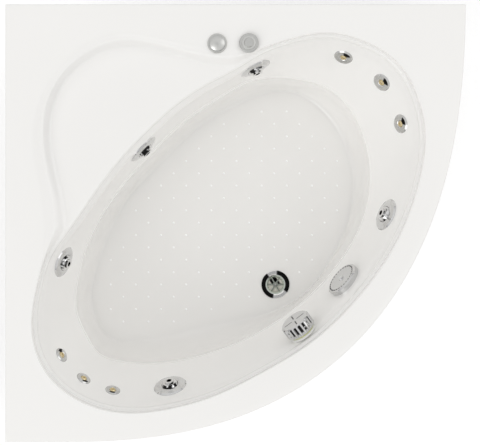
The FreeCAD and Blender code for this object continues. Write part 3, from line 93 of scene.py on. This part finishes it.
FLOOR = [
    (794, 191), (640, 228), (517, 299), (409, 401), (295, 524), (215, 693), (187, 847), (224, 930),
    (363, 949), (517, 915), (671, 884), (825, 823), (933, 678), (985, 524), (966, 370), (902, 262),
]



def bearing_of(across, out):
    """The bearing of a plan place from the bowl's middle, in degrees."""
    return math.degrees(math.atan2(CENTRE[1] - out, across - CENTRE[0])) % 360


SPOKES = 720
CORNERS = ((0, 0), (LEG_X, 0), (0, LEG_Y))
bearings = np.array(sorted([360 * n / SPOKES for n in range(SPOKES)] + [bearing_of(*c) for c in CORNERS]))
COS, SIN = np.cos(np.radians(bearings)), np.sin(np.radians(bearings))


def metres(across, out, height):
    """A plan place and a height above the floor, in the part's frame."""
    return ((across - LEG_X / 2) / 1000, (LEG_Y / 2 - out) / 1000, height / 1000)


def smooth_line(points, closed=True, steps=24):
    """A cubic line through the points, with this many steps between each two."""
    spots = np.array(points, float)
    count = len(spots)
    after = np.roll(spots, -1, 0) if closed else spots[1:]
    length = np.linalg.norm(after - spots[: len(after)], axis=1)
    matrix, right = np.zeros((count, count)), np.zeros((count, 2))
    for n in range(count):
        if not closed and n in (0, count - 1):
            matrix[n, n] = 1
            continue
        before, here, following = spots[n - 1], spots[n], spots[(n + 1) % count]
        left, ahead = length[n - 1], length[n]
        matrix[n, n - 1] += left
        matrix[n, n] += 2 * (left + ahead)
        matrix[n, (n + 1) % count] += ahead
        right[n] = 6 * ((following - here) / ahead - (here - before) / left)
    bend = np.linalg.solve(matrix, right)
    line = []
    for n in range(len(length)):
        a, b, h = spots[n], spots[(n + 1) % count], length[n]
        for step in range(steps):
            t = step / steps * h
            u = h - t
            line.append(
                (bend[n] * u**3 + bend[(n + 1) % count] * t**3) / (6 * h)
                + (a / h - bend[n] * h / 6) * u + (b / h - bend[(n + 1) % count] * h / 6) * t
            )
    if not closed:
        line.append(spots[-1])
    return np.array(line)


def radii(points, closed=True):
    """The line's radius about the bowl's middle at every bearing; 0 where an open line doesn't reach."""
    line = smooth_line(points, closed)
    arm = np.stack([line[:, 0] - CENTRE[0], CENTRE[1] - line[:, 1]], 1)
    turn = np.degrees(np.arctan2(arm[:, 1], arm[:, 0])) % 360
    reach = np.hypot(arm[:, 0], arm[:, 1])
    order = np.argsort(turn)
    if closed:
        return np.interp(bearings, turn[order], reach[order], period=360)
    return np.interp(bearings, turn[order], reach[order], left=0, right=0)


def edge_radii(inset):
    """The deck's outline, inset, at every bearing."""
    along, down = LEG_X - FRONT_CENTRE[0] - inset, LEG_Y - FRONT_CENTRE[1] - inset
    found = []
    for cosine, sine in zip(COS, SIN):
        low, high = 300.0, 1000.0  # the outline lies between these two radii at every bearing
        for _ in range(40):
            reach = (low + high) / 2
            across, out = CENTRE[0] + reach * cosine, CENTRE[1] - reach * sine
            right = max(across - FRONT_CENTRE[0], 0) / along
            front = max(out - FRONT_CENTRE[1], 0) / down
            inside = across >= inset and out >= inset and right**FRONT_POWER + front**FRONT_POWER <= 1
            low, high = (reach, high) if inside else (low, reach)
        found.append(low)
    return np.array(found)


deck_edge, rim, ledge, floor = radii(DECK_EDGE), radii(RIM), radii(LEDGE), radii(FLOOR)
seat_edge = radii(SEAT_EDGE, closed=False)
mouth = rim + MOUTH_FLARE
seat_line = np.where(seat_edge > 0, np.maximum(seat_edge, mouth), mouth)
seat_line = 0.5 * (seat_line + mouth + np.sqrt((seat_line - mouth) ** 2 + MOUTH_SOFTNESS**2))
step_edge = np.maximum(deck_edge, seat_line + STEP_WIDTH_MIN)
outer = edge_radii(0)


def mix(a, b, share):
    """The value this share of the way from a to b."""
    return a + (b - a) * share


def bell(share):
    """A share from 0 to 1, with a level start and end."""
    return share * share * (3 - 2 * share)


def step_fall(share):
    """How far the step from the deck to the seat has fallen, as a share: slowly at first, then steeply."""
    if share < STEP_TOP_SHARE:
        return STEP_TOP_FALL * bell(share / STEP_TOP_SHARE)
    return STEP_TOP_FALL + (1 - STEP_TOP_FALL) * bell((share - STEP_TOP_SHARE) / (1 - STEP_TOP_SHARE))


def lower_wall(turn):
    """The bowl's lower wall, turned by this much from the ledge towards the floor: radii and depth."""
    start = LEDGE_DEPTH + LEDGE_WIDTH
    return floor + (ledge - floor) * math.cos(turn), start + (BOWL_DEPTH - start) * math.sin(turn)


def inside_profile():
    """The shell's face, from the lip's lower edge to the floor's middle: (radii, height) of each ring."""
    rings = [(outer, TOP - below) for below in (LIP, *LIP_RINGS)]
    for turn in np.radians([0, 18, 36, 54, 72, 90]):
        inset = EDGE_ROUND * (1 - math.cos(turn))
        rings.append((edge_radii(inset), TOP - EDGE_ROUND + EDGE_ROUND * math.sin(turn)))
    deck_outside, deck_inside = edge_radii(EDGE_FLAT), step_edge + STEP_ROUND
    for share in (0.15, 0.4, 0.65, 0.85, 0.95, 1):
        rings.append((mix(deck_outside, deck_inside, share), TOP))
    for share in np.linspace(0.04, 1, 22):
        rings.append((mix(step_edge, seat_line, share), TOP - SEAT_DROP * step_fall(share)))
    for share in np.linspace(0.1, 0.95, 9):
        rings.append((mix(seat_line, mouth, share), TOP - SEAT_DROP - SEAT_CROWN * bell(share)))
    for turn in np.radians(np.linspace(0, 90, 10)):
        drop = SEAT_DROP + SEAT_CROWN + (MOUTH_ROUND - SEAT_CROWN) * (1 - math.cos(turn))
        rings.append((rim + MOUTH_FLARE * (1 - math.sin(turn)), TOP - drop))
    shoulder = rim - SHOULDER_INSET
    for share in np.linspace(0.25, 1, 4):
        inward = mix(share, bell(share), SHOULDER_BEND)
        depth = mix(SEAT_DROP + MOUTH_ROUND, SHOULDER_DEPTH, share)
        rings.append((mix(rim, shoulder, inward), TOP - depth))
    ledge_top = LEDGE_DEPTH - LEDGE_WIDTH
    for share in np.linspace(0.08, 0.97, 12):
        rings.append((mix(shoulder, ledge + LEDGE_WIDTH, share), TOP - mix(SHOULDER_DEPTH, ledge_top, share)))
    rings += [(ledge + across, TOP - ledge_top - down) for across, down in LEDGE_ROUNDING]
    for turn in np.radians(np.linspace(4, 90, 24)):
        reach, depth = lower_wall(turn)
        rings.append((reach, TOP - depth))
    rings += [(floor * (1 - share), TOP - BOWL_DEPTH) for share in np.linspace(0.015, 1, 68)[:-1]]
    rings.append((floor * 0.004, TOP - BOWL_DEPTH))
    return rings


def outside_profile():
    """The shell's back, from the floor's middle out to the lip's lower edge: (radii, height) of each ring."""
    rings = [(floor * share, TOP - BOWL_DEPTH - WALL) for share in (0.01, 0.3, 0.6, 0.8, 0.95)]
    for turn in np.radians(np.linspace(90, 0, 14)):
        reach, depth = lower_wall(turn)
        rings.append((reach + WALL * math.cos(turn), TOP - depth - WALL * math.sin(turn)))
    under_seat, lip_inside = TOP - SEAT_DROP - WALL, edge_radii(WALL)
    return rings + [
        (ledge + LEDGE_WIDTH + WALL, TOP - LEDGE_DEPTH + LEDGE_WIDTH - 1),
        (rim - SHOULDER_INSET + WALL, TOP - SHOULDER_DEPTH),
        (rim + WALL, TOP - SEAT_DROP - MOUTH_ROUND),
        (mouth, under_seat), (seat_line, under_seat), (step_edge + WALL, under_seat),
        (step_edge + WALL, TOP - WALL), (lip_inside, TOP - WALL), (lip_inside, TOP - LIP),
    ]


def mesh_object(name, vertices, faces, material):
    """A smooth-shaded piece."""
    mesh = bpy.data.meshes.new(name)
    mesh.from_pydata([tuple(v) for v in vertices], [], faces)
    mesh.validate()
    mesh.update()
    thing = bpy.data.objects.new(name, mesh)
    bpy.context.collection.objects.link(thing)
    mesh.materials.append(material)
    mesh.shade_smooth()
    return thing


def crease(thing, degrees):
    """Keeps a smooth-shaded piece's edges sharp where its faces meet at more than this angle."""
    modifier = thing.modifiers.new("edges", "EDGE_SPLIT")
    modifier.split_angle = math.radians(degrees)


# ---------------------------------------------------------------- materials
def material(name, colour, roughness, metallic=0.0, *, scale, spread=0.03, bump=0, bump_scale=300,
             sockets=None):
    """A principled material that varies finely in colour and roughness, with a grain where bump is set."""
    made = bpy.data.materials.new(name)
    made.use_nodes = True
    tree = made.node_tree
    shader = tree.nodes["Principled BSDF"]
    shader.inputs["Metallic"].default_value = metallic
    for socket, value in (sockets or {}).items():
        shader.inputs[socket].default_value = value
    place = tree.nodes.new("ShaderNodeTexCoord")
    noise = tree.nodes.new("ShaderNodeTexNoise")
    noise.inputs["Scale"].default_value = scale
    noise.inputs["Detail"].default_value = 4
    tree.links.new(place.outputs["Object"], noise.inputs["Vector"])
    ramp = tree.nodes.new("ShaderNodeValToRGB")
    darker, lighter = ramp.color_ramp.elements
    darker.position, darker.color = 0.3, (*[c * (1 - spread) for c in colour], 1)
    lighter.position, lighter.color = 0.7, (*[min(c * (1 + spread), 1) for c in colour], 1)
    tree.links.new(noise.outputs["Fac"], ramp.inputs["Fac"])
    tree.links.new(ramp.outputs["Color"], shader.inputs["Base Color"])
    rough = tree.nodes.new("ShaderNodeMapRange")
    rough.inputs["To Min"].default_value = roughness * 0.85
    rough.inputs["To Max"].default_value = roughness * 1.15
    tree.links.new(noise.outputs["Fac"], rough.inputs["Value"])
    tree.links.new(rough.outputs["Result"], shader.inputs["Roughness"])
    if bump:
        grain = tree.nodes.new("ShaderNodeTexNoise")
        grain.inputs["Scale"].default_value = bump_scale
        grain.inputs["Detail"].default_value = 3
        tree.links.new(place.outputs["Object"], grain.inputs["Vector"])
        relief = tree.nodes.new("ShaderNodeBump")
        relief.inputs["Strength"].default_value = 0.4
        relief.inputs["Distance"].default_value = bump
        tree.links.new(grain.outputs["Fac"], relief.inputs["Height"])
        tree.links.new(relief.outputs["Normal"], shader.inputs["Normal"])
    return made


acrylic = material("acrylic", (0.975, 0.965, 0.943), 0.16, scale=3, spread=0.006,
                   sockets={"Coat Weight": 0.4, "Coat Roughness": 0.06, "IOR": 1.49})
# The dots' emission is a painted highlight: they glow faintly though they are no lamp.
glowing_dot_acrylic = material("glowing_dot_acrylic", (0.99, 0.99, 0.985), 0.12, scale=30, spread=0.005,
                       sockets={"Coat Weight": 1.0, "Coat Roughness": 0.05, "IOR": 1.6,
                                "Emission Color": (1, 1, 1, 1), "Emission Strength": 0.20})
backing = material("glass_fibre", (0.80, 0.78, 0.70), 0.55, scale=60, spread=0.05, bump=0.0012, bump_scale=90)
chrome = material("chrome", (0.70, 0.70, 0.70), 0.10, 1.0, scale=200, spread=0.02)
satin = material("satin_chrome", (0.66, 0.66, 0.64), 0.34, 1.0, scale=160, spread=0.02)
brass = material("brass", (0.72, 0.60, 0.36), 0.22, 1.0, scale=200, spread=0.04)
white_plastic = material("white_plastic", (0.86, 0.86, 0.84), 0.38, scale=80, spread=0.02, bump=0.0002)
seal_rubber = material("seal", (0.68, 0.70, 0.22), 0.5, scale=120, spread=0.06)
black_rubber = material("black_rubber", (0.03, 0.03, 0.03), 0.7, scale=120, spread=0.2, bump=0.0003)
hose_plastic = material("hose", (0.50, 0.53, 0.57), 0.4, scale=120, spread=0.05)
cord_black = material("cord", (0.025, 0.025, 0.025), 0.45, scale=200, spread=0.2)
steel_paint = material("frame_paint", (0.62, 0.64, 0.66), 0.42, 0.3, scale=90, spread=0.05, bump=0.0002)
zinc = material("zinc", (0.62, 0.62, 0.60), 0.35, 1.0, scale=180, spread=0.08)
board = material("board", (0.55, 0.43, 0.29), 0.75, scale=220, spread=0.25, bump=0.0006, bump_scale=400)
panel_acrylic = material("panel", (0.90, 0.89, 0.87), 0.2, scale=5, spread=0.01,
                         sockets={"Coat Weight": 0.3, "Coat Roughness": 0.08})
pump_plastic = material("pump_plastic", (0.035, 0.035, 0.04), 0.5, scale=150, spread=0.15, bump=0.0003)
motor_paint = material("motor_paint", (0.10, 0.13, 0.18), 0.38, 0.2, scale=120, spread=0.08, bump=0.0002)
box_plastic = material("box_plastic", (0.50, 0.51, 0.52), 0.5, scale=150, spread=0.03, bump=0.0002)


# ---------------------------------------------------------------- painted shade, reflections and highlights within a material, in metres
def vector(tree, operation, first, second=None):
    """The output of a vector node: a number for DOT_PRODUCT and LENGTH, else a vector."""
    node = tree.nodes.new("ShaderNodeVectorMath")
    node.operation = operation
    tree.links.new(first, node.inputs[0])
    if second is not None:
        node.inputs[1].default_value = second
    return node.outputs["Value" if operation in ("DOT_PRODUCT", "LENGTH") else "Vector"]


def between(tree, value, low, high, falling=False):
    """A smooth 0 to 1 as the value goes from low to high, or 1 to 0."""
    node = tree.nodes.new("ShaderNodeMapRange")
    node.interpolation_type = "SMOOTHSTEP"
    node.inputs["From Min"].default_value = low
    node.inputs["From Max"].default_value = high
    node.inputs["To Min"].default_value = 1 if falling else 0
    node.inputs["To Max"].default_value = 0 if falling else 1
    tree.links.new(value, node.inputs["Value"])
    return node.outputs["Result"]


def computed(tree, operation, *values):
    """The output of a node that computes with one or two values, each a socket or a number."""
    node = tree.nodes.new("ShaderNodeMath")
    node.operation = operation
    for socket, value in zip(node.inputs, values):
        if isinstance(value, (int, float)):
            socket.default_value = value
        else:
            tree.links.new(value, socket)
    return node.outputs[0]


def combined(tree, operation, values):
    """Several numbers joined by one operation."""
    total = values[0]
    for value in values[1:]:
        total = computed(tree, operation, total, value)
    return total


def noise_at(tree, place, scale, detail=2):
    noise = tree.nodes.new("ShaderNodeTexNoise")
    noise.inputs["Scale"].default_value = scale
    noise.inputs["Detail"].default_value = detail
    tree.links.new(place, noise.inputs["Vector"])
    return noise.outputs["Fac"]


def tinted(made, colour, mask):
    """Mixes a second colour into a material where the mask is 1, a function of its node tree and a place."""
    tree = made.node_tree
    place = tree.nodes.new("ShaderNodeTexCoord").outputs["Object"]
    shader = tree.nodes["Principled BSDF"]
    source = shader.inputs["Base Color"].links[0].from_socket
    blend = tree.nodes.new("ShaderNodeMix")
    blend.data_type = "RGBA"
    first, second, result = blend.inputs[6], blend.inputs[7], blend.outputs[2]  # the node's colour sockets
    tree.links.new(mask(tree, place), blend.inputs["Factor"])
    tree.links.new(source, first)
    second.default_value = (*colour, 1)
    tree.links.new(result, shader.inputs["Base Color"])
    return made


def wedge(tree, place, centre, direction, inner, outer, opening=0.75):
    """1 in a sector of a disc around a centre, towards a direction, between two radii."""
    arm = vector(tree, "SUBTRACT", place, centre)
    reach = vector(tree, "LENGTH", arm)
    turn = vector(tree, "DOT_PRODUCT", vector(tree, "NORMALIZE", arm), direction)
    parts = [between(tree, turn, opening, opening + 0.12), between(tree, reach, inner, inner + 0.002),
             between(tree, reach, outer - 0.001, outer, falling=True)]
    return combined(tree, "MULTIPLY", parts)


def in_plane(direction, normal):
    """The direction as it lies in the plane with this normal."""
    direction, normal = Vector(direction), Vector(normal)
    return (direction - normal * direction.dot(normal)).normalized()


# Each small jet's middle, the axis it points along, and where on its face the painted dark reflection, a
# wedge, lies.
BACK_JETS = (
    ((0.3023, 0.4651, 0.5317), (-0.2850, -0.8195, 0.4972), (0.5, 0.85, 0)),
    ((0.4099, 0.3942, 0.5317), (-0.6258, -0.5128, 0.5878), (0.9, 0.45, 0)),
    ((0.4631, 0.2780, 0.5317), (-0.8063, -0.1839, 0.5622), (0.8, 0.3, 0)),
)
FOOT_JETS = (
    ((-0.4876, -0.3695, 0.5317), (0.7705, 0.4594, 0.4418), (-0.2, 1, 0)),
    ((-0.4254, -0.4358, 0.5318), (0.4969, 0.7655, 0.4088), (-0.3, -1, 0)),
    ((-0.3438, -0.4686, 0.5317), (0.2038, 0.8739, 0.4414), (-0.2, -1, 0)),
)
KNOB_PLACE, KNOB_AXIS = (0.1882, -0.3037, 0.5578), (-0.5745, 0.7630, 0.2965)
KNOB_FACE, KNOB_GROOVE = 0.046, 0.0425
STRAINER_PLACE, STRAINER_AXIS = (0.3098, -0.1652, 0.5078), (-0.7369, 0.6097, 0.2920)
STRAINER_HOLES, STRAINER_RING = 30, 0.043
WASTE_PLACE, WASTE_AXIS = (0.124, -0.190, 0.220), (0.0, 0.001, 1.0)
GRID_REACH, FLANGE_REACH = 0.029, 0.06
JET_HUB = 0.006


def jet_reflection_wedges(jets, outer):
    """A mask of one painted dark reflection, a wedge, on the face of each small jet."""
    def mask(tree, place):
        parts = [wedge(tree, place, middle, in_plane(direction, axis), JET_HUB, outer)
                 for middle, axis, direction in jets]
        return combined(tree, "MAXIMUM", parts)
    return mask


def dark_reflection_facing_up(tree, place):
    """1 in streaks on what faces upwards, where dark reflections are painted."""
    normal = tree.nodes.new("ShaderNodeNewGeometry").outputs["Normal"]
    level = vector(tree, "DOT_PRODUCT", normal, (0, 0, 1))
    streaks = between(tree, noise_at(tree, place, 90, 1), 0.40, 0.50)
    return combined(tree, "MULTIPLY", [between(tree, level, 0.45, 0.65), streaks])


def fitting_measures(tree, place, centre, axis):
    """A point's height along a fitting's axis, its distance from it, and its two places across it."""
    arm = vector(tree, "SUBTRACT", place, centre)
    level = Vector((0, 0, 1)).cross(Vector(axis)).normalized()
    steep = Vector(axis).cross(level).normalized()
    along = vector(tree, "DOT_PRODUCT", arm, axis)
    reach = vector(tree, "LENGTH", vector(tree, "CROSS_PRODUCT", arm, axis))
    return along, reach, vector(tree, "DOT_PRODUCT", arm, level), vector(tree, "DOT_PRODUCT", arm, steep)


def knob_groove_shade(tree, place):
    """1 where shade and dark reflections are painted: in streaks in the grooves round the overflow knob, and
    on the thin cross on its face.
    """
    along, reach, level, steep = fitting_measures(tree, place, KNOB_PLACE, KNOB_AXIS)
    grooves = combined(tree, "MULTIPLY", [
        between(tree, along, KNOB_FACE - 0.004, KNOB_FACE - 0.002, falling=True),
        between(tree, along, 0.016, 0.022),
        between(tree, noise_at(tree, place, 45), 0.36, 0.46),
        between(tree, reach, KNOB_GROOVE - 0.001, KNOB_GROOVE, falling=True),
    ])
    arms = [between(tree, computed(tree, "ABSOLUTE", c), 0.001, 0.0022, falling=True) for c in (level, steep)]
    cross = combined(tree, "MULTIPLY", [
        combined(tree, "MAXIMUM", arms),
        between(tree, along, KNOB_FACE - 0.004, KNOB_FACE - 0.002),
        between(tree, reach, 0.030, 0.034, falling=True),
        between(tree, reach, 0.006, 0.010),
    ])
    return combined(tree, "MAXIMUM", [grooves, cross])


def strainer_hole_shade(tree, place):
    """1 in the ring of small holes near the suction cover's edge, where the holes' shade is painted."""
    _, reach, level, steep = fitting_measures(tree, place, STRAINER_PLACE, STRAINER_AXIS)
    turn = computed(tree, "ARCTAN2", level, steep)
    cosine = computed(tree, "COSINE", computed(tree, "MULTIPLY", turn, STRAINER_HOLES))
    return combined(tree, "MULTIPLY", [
        between(tree, cosine, 0.0, 0.4),
        between(tree, reach, STRAINER_RING - 0.0022, STRAINER_RING - 0.0012),
        between(tree, reach, STRAINER_RING + 0.0012, STRAINER_RING + 0.0022, falling=True),
    ])


def flange_rim_highlight(tree, place):
    """1 on the waste's flange outside its grid, where a highlight is painted."""
    _, reach, _, _ = fitting_measures(tree, place, WASTE_PLACE, WASTE_AXIS)
    return between(tree, reach, GRID_REACH - 0.001, GRID_REACH + 0.002)


def flange_dark_reflection(tree, place):
    """1 on the dark sectors of the waste's flange, where dark reflections are painted."""
    sectors = []
    for direction, opening in (((-1, -0.25, 0), 0.35), ((0.75, 0.35, 0), 0.45)):
        level = in_plane(direction, (0, 0, 1))
        sectors.append(wedge(tree, place, WASTE_PLACE, level, GRID_REACH, FLANGE_REACH, opening))
    return combined(tree, "MAXIMUM", sectors)


# Painted colours: black for painted shade and dark reflections, near white for a painted highlight.
PAINTED_DARK, PAINTED_HIGHLIGHT = (0.015, 0.015, 0.015), (0.93, 0.93, 0.93)


def chrome_with_painted_light(name, colour, roughness, shade, mask):
    """A bright metal with a second colour painted in where the mask is 1, as painted shade, reflection or
    highlight.
    """
    return tinted(material(name, colour, roughness, 1.0, scale=200), shade, mask)


# The small jets' faces get a painted dark reflection, a black wedge.
back_face = chrome_with_painted_light("back_jet_chrome", (0.62, 0.62, 0.61), 0.2, PAINTED_DARK, jet_reflection_wedges(BACK_JETS, 0.023))
foot_face = chrome_with_painted_light("foot_jet_chrome", (0.62, 0.62, 0.61), 0.2, PAINTED_DARK, jet_reflection_wedges(FOOT_JETS, 0.018))
# The nozzles get painted dark reflections, black streaks on what faces up.
nozzle_chrome = chrome_with_painted_light("nozzle_chrome", (0.74, 0.74, 0.74), 0.08, PAINTED_DARK, dark_reflection_facing_up)
# The overflow knob gets painted shade and dark reflections in black, in its grooves and on its cross.
knob_chrome = chrome_with_painted_light("knob_chrome", (0.66, 0.66, 0.66), 0.12, PAINTED_DARK, knob_groove_shade)
# The waste flange gets a painted highlight in near white outside its grid, and painted dark reflections in
# black sectors.
waste_chrome = chrome_with_painted_light("waste_chrome", (0.46, 0.50, 0.44), 0.14, PAINTED_HIGHLIGHT, flange_rim_highlight)
tinted(waste_chrome, PAINTED_DARK, flange_dark_reflection)
# The suction cover gets painted shade, in black, in its ring of holes.
strainer_chrome = chrome_with_painted_light("strainer_chrome", (0.66, 0.66, 0.66), 0.14, PAINTED_DARK, strainer_hole_shade)

BY_NODE = {
    "back_jet_faces": back_face, "foot_jet_faces": foot_face, "overflow_knob": knob_chrome,
    "waste_flange": waste_chrome, "suction_cover": strainer_chrome, "start_button": satin,
    "start_button_body": satin, "air_knob": satin, "air_knob_body": satin,
}
BY_NODE.update({f"jet_nozzle_{n}": nozzle_chrome for n in range(1, 6)})
BY_SLOT = {
    "acrylic": acrylic, "panel": panel_acrylic, "board": board, "frame_paint": steel_paint, "zinc": zinc,
    "rubber": black_rubber, "chrome": chrome, "brass": brass, "pipe_plastic": white_plastic,
    "seal": seal_rubber, "hose": hose_plastic, "cord": cord_black, "pump_plastic": pump_plastic,
    "motor_paint": motor_paint, "box_plastic": box_plastic,
}
for part in frame["record"]["subparts"]:
    node = nodes[part["node"]]
    for slot in node.material_slots:
        slot.material = BY_NODE.get(part["node"], BY_SLOT[part["material_slot"]])


# ---------------------------------------------------------------- the shell
FRONT, BACK = 0, 1  # the skin's two materials
HALF_WAY_UP = 300


def make_shell():
    """The bath's skin: rings of points from the lip to the floor's middle, and on the back out again."""
    inside = inside_profile()
    rings = inside + outside_profile()
    count, total, last_inside = len(bearings), len(rings), len(inside) - 1
    vertices, faces, marks = [], [], []
    for reach, height in rings:
        across, out = CENTRE[0] + reach * COS, CENTRE[1] - reach * SIN
        vertices += [metres(a, o, height) for a, o in zip(across, out)]
    plan = np.array(vertices)[:, :2]
    waste = np.array(metres(*WASTE, 0)[:2])
    for k, (_, height) in enumerate(rings):
        if k == last_inside:
            continue
        following = (k + 1) % total
        for j in range(count):
            i = (j + 1) % count
            quad = (k * count + j, k * count + i, following * count + i, following * count + j)
            if height < HALF_WAY_UP and np.hypot(*(plan[list(quad)].mean(0) - waste)) < WASTE_HOLE / 1000:
                continue
            faces.append(quad)
            marks.append(BACK if k > last_inside and following else FRONT)
    faces.append(tuple(last_inside * count + j for j in range(count)))
    faces.append(tuple((last_inside + 1) * count + j for j in reversed(range(count))))
    skin = mesh_object("shell_skin", vertices, faces, acrylic)
    skin.data.materials.append(backing)
    skin.data.polygons.foreach_set("material_index", marks + [FRONT, BACK])
    crease(skin, 55)
    return skin


shell = make_shell()
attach(shell, "tub")
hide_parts("bath_shell")

# ---------------------------------------------------------------- anti-slip dots
DOT_ACROSS, DOT_OUT = 25.15 * SCALE_AT_FLOOR, 12.35 * SCALE_AT_FLOOR
DOT_START = (NADIR[0] + (223.8 - NADIR_PIXEL[0]) * SCALE_AT_FLOOR,
             NADIR[1] + (173.4 - NADIR_PIXEL[1]) * SCALE_AT_FLOOR)


def dot_places():
    """The plan places of the dots: staggered rows, clear of the floor's border and of the waste."""
    for row in range(-10, 18):
        for column in range(-12, 12):
            across = DOT_START[0] + (column + (row % 2) / 2) * DOT_ACROSS
            out = DOT_START[1] + row * DOT_OUT
            border = np.interp(bearing_of(across, out), bearings, floor, period=360) - DOTS_FROM_WALL
            from_waste = math.dist((across, out), WASTE)
            if math.dist((across, out), CENTRE) <= border and from_waste >= DOTS_FROM_WASTE:
                yield across, out


def make_dots():
    """One piece with a low dome for every dot."""
    vertices, faces = [], []
    for across, out in dot_places():
        start = len(vertices)
        for ring in range(DOT_RINGS):
            turn = math.pi / 2 * ring / DOT_RINGS
            radius = DOT_RADIUS * math.cos(turn)
            height = TOP - BOWL_DEPTH - DOT_SINK + (DOT_HEIGHT + DOT_SINK) * math.sin(turn)
            for side in range(DOT_SIDES):
                angle = 2 * math.pi * side / DOT_SIDES
                aside, ahead = radius * math.cos(angle), radius * math.sin(angle)
                vertices.append(metres(across + aside, out + ahead, height))
        vertices.append(metres(across, out, TOP - BOWL_DEPTH + DOT_HEIGHT))
        for ring in range(DOT_RINGS):
            for side in range(DOT_SIDES):
                a = start + ring * DOT_SIDES + side
                b = start + ring * DOT_SIDES + (side + 1) % DOT_SIDES
                if ring == DOT_RINGS - 1:
                    faces.append((a, len(vertices) - 1, b))
                else:
                    faces.append((a, a + DOT_SIDES, b + DOT_SIDES, b))
    return mesh_object("anti_slip_dots", vertices, faces, glowing_dot_acrylic)


dots = make_dots()
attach(dots, "tub")

ROUND_PIECES = ("jet_", "back_jet", "foot_jet", "small_jet", "suction_", "overflow_", "waste_", "start_",
                "air_knob", "pump_", "manifold", "trap")
for name, thing in nodes.items():
    if name.startswith(ROUND_PIECES):
        thing.data.shade_smooth()
        crease(thing, 32)

# ---------------------------------------------------------------- room, light and camera
bpy.ops.mesh.primitive_plane_add(size=14, location=(0, 0, 0))
ground = bpy.context.object
ground.name = "studio_floor"
paper = bpy.data.materials.new("studio_floor")
paper.use_nodes = True
tree = paper.node_tree
paint = tree.nodes["Principled BSDF"]
paint.inputs["Base Color"].default_value = (0.80, 0.80, 0.80, 1)
paint.inputs["Roughness"].default_value = 0.9
paint.inputs["Specular IOR Level"].default_value = 0.1
rays = tree.nodes.new("ShaderNodeLightPath").outputs
seen = combined(tree, "MAXIMUM", [rays["Is Camera Ray"], rays["Is Glossy Ray"], rays["Is Transmission Ray"]])
paint.inputs["Emission Color"].default_value = (1, 1, 1, 1)
tree.links.new(computed(tree, "MULTIPLY", seen, 0.36), paint.inputs["Emission Strength"])
ground.data.materials.append(paper)

world = bpy.data.worlds.new("studio")
bpy.context.scene.world = world
world.use_nodes = True
tree = world.node_tree
sky = tree.nodes["Background"]
sky.inputs["Strength"].default_value = 0.84
where = tree.nodes.new("ShaderNodeTexCoord")
split = tree.nodes.new("ShaderNodeSeparateXYZ")
tree.links.new(where.outputs["Generated"], split.inputs["Vector"])
ramp = tree.nodes.new("ShaderNodeValToRGB")
stops = ramp.color_ramp.elements
for position, level in ((0.2, 0.70), (0.45, 0.95), (0.75, 1.0), (0.982, 1.0), (0.99, 0.45)):
    stops.new(position).color = (level, level, level, 1)
for end in (0, len(stops) - 1):
    stops[end].color = (0.45, 0.45, 0.45, 1)
tree.links.new(split.outputs["Z"], ramp.inputs["Fac"])
tree.links.new(ramp.outputs["Color"], sky.inputs["Color"])
# What the camera sees past the floor's edge is plain white; the object is lit by the ramp alone.
backdrop = tree.nodes.new("ShaderNodeBackground")
backdrop.inputs["Color"].default_value = (1, 1, 1, 1)
rays = tree.nodes.new("ShaderNodeLightPath")
choice = tree.nodes.new("ShaderNodeMixShader")
tree.links.new(rays.outputs["Is Camera Ray"], choice.inputs["Fac"])
tree.links.new(sky.outputs["Background"], choice.inputs[1])
tree.links.new(backdrop.outputs["Background"], choice.inputs[2])
tree.links.new(choice.outputs["Shader"], tree.nodes["World Output"].inputs["Surface"])


def sun(name, from_where, spread, strength):
    """A soft distant lamp, its spread in degrees."""
    data = bpy.data.lights.new(name, "SUN")
    data.angle = math.radians(spread)
    data.energy = strength
    thing = bpy.data.objects.new(name, data)
    thing.rotation_euler = (-Vector(from_where)).to_track_quat("-Z", "Y").to_euler()
    bpy.context.collection.objects.link(thing)


sun("key", (-0.62, -0.7, 0.62), 40, 0.50)
sun("second", (0.85, 0.25, 0.6), 40, 0.24)

camera_data = bpy.data.cameras.new("camera")
camera_data.sensor_width = 36
camera_data.sensor_fit = "HORIZONTAL"
camera_data.lens = 36 * CAMERA_OVER_RIM / (PICTURE_WIDTH * SCALE_AT_RIM)
camera_data.shift_x = (PICTURE_WIDTH / 2 - NADIR_PIXEL[0]) / PICTURE_WIDTH
camera_data.shift_y = (NADIR_PIXEL[1] - PICTURE_HEIGHT / 2) / PICTURE_WIDTH
camera_data.clip_end = 50
camera = bpy.data.objects.new("camera", camera_data)
camera.location = metres(*NADIR, TOP + CAMERA_OVER_RIM)
bpy.context.collection.objects.link(camera)
bpy.context.scene.camera = camera
bpy.context.scene.view_settings.view_transform = "Standard"
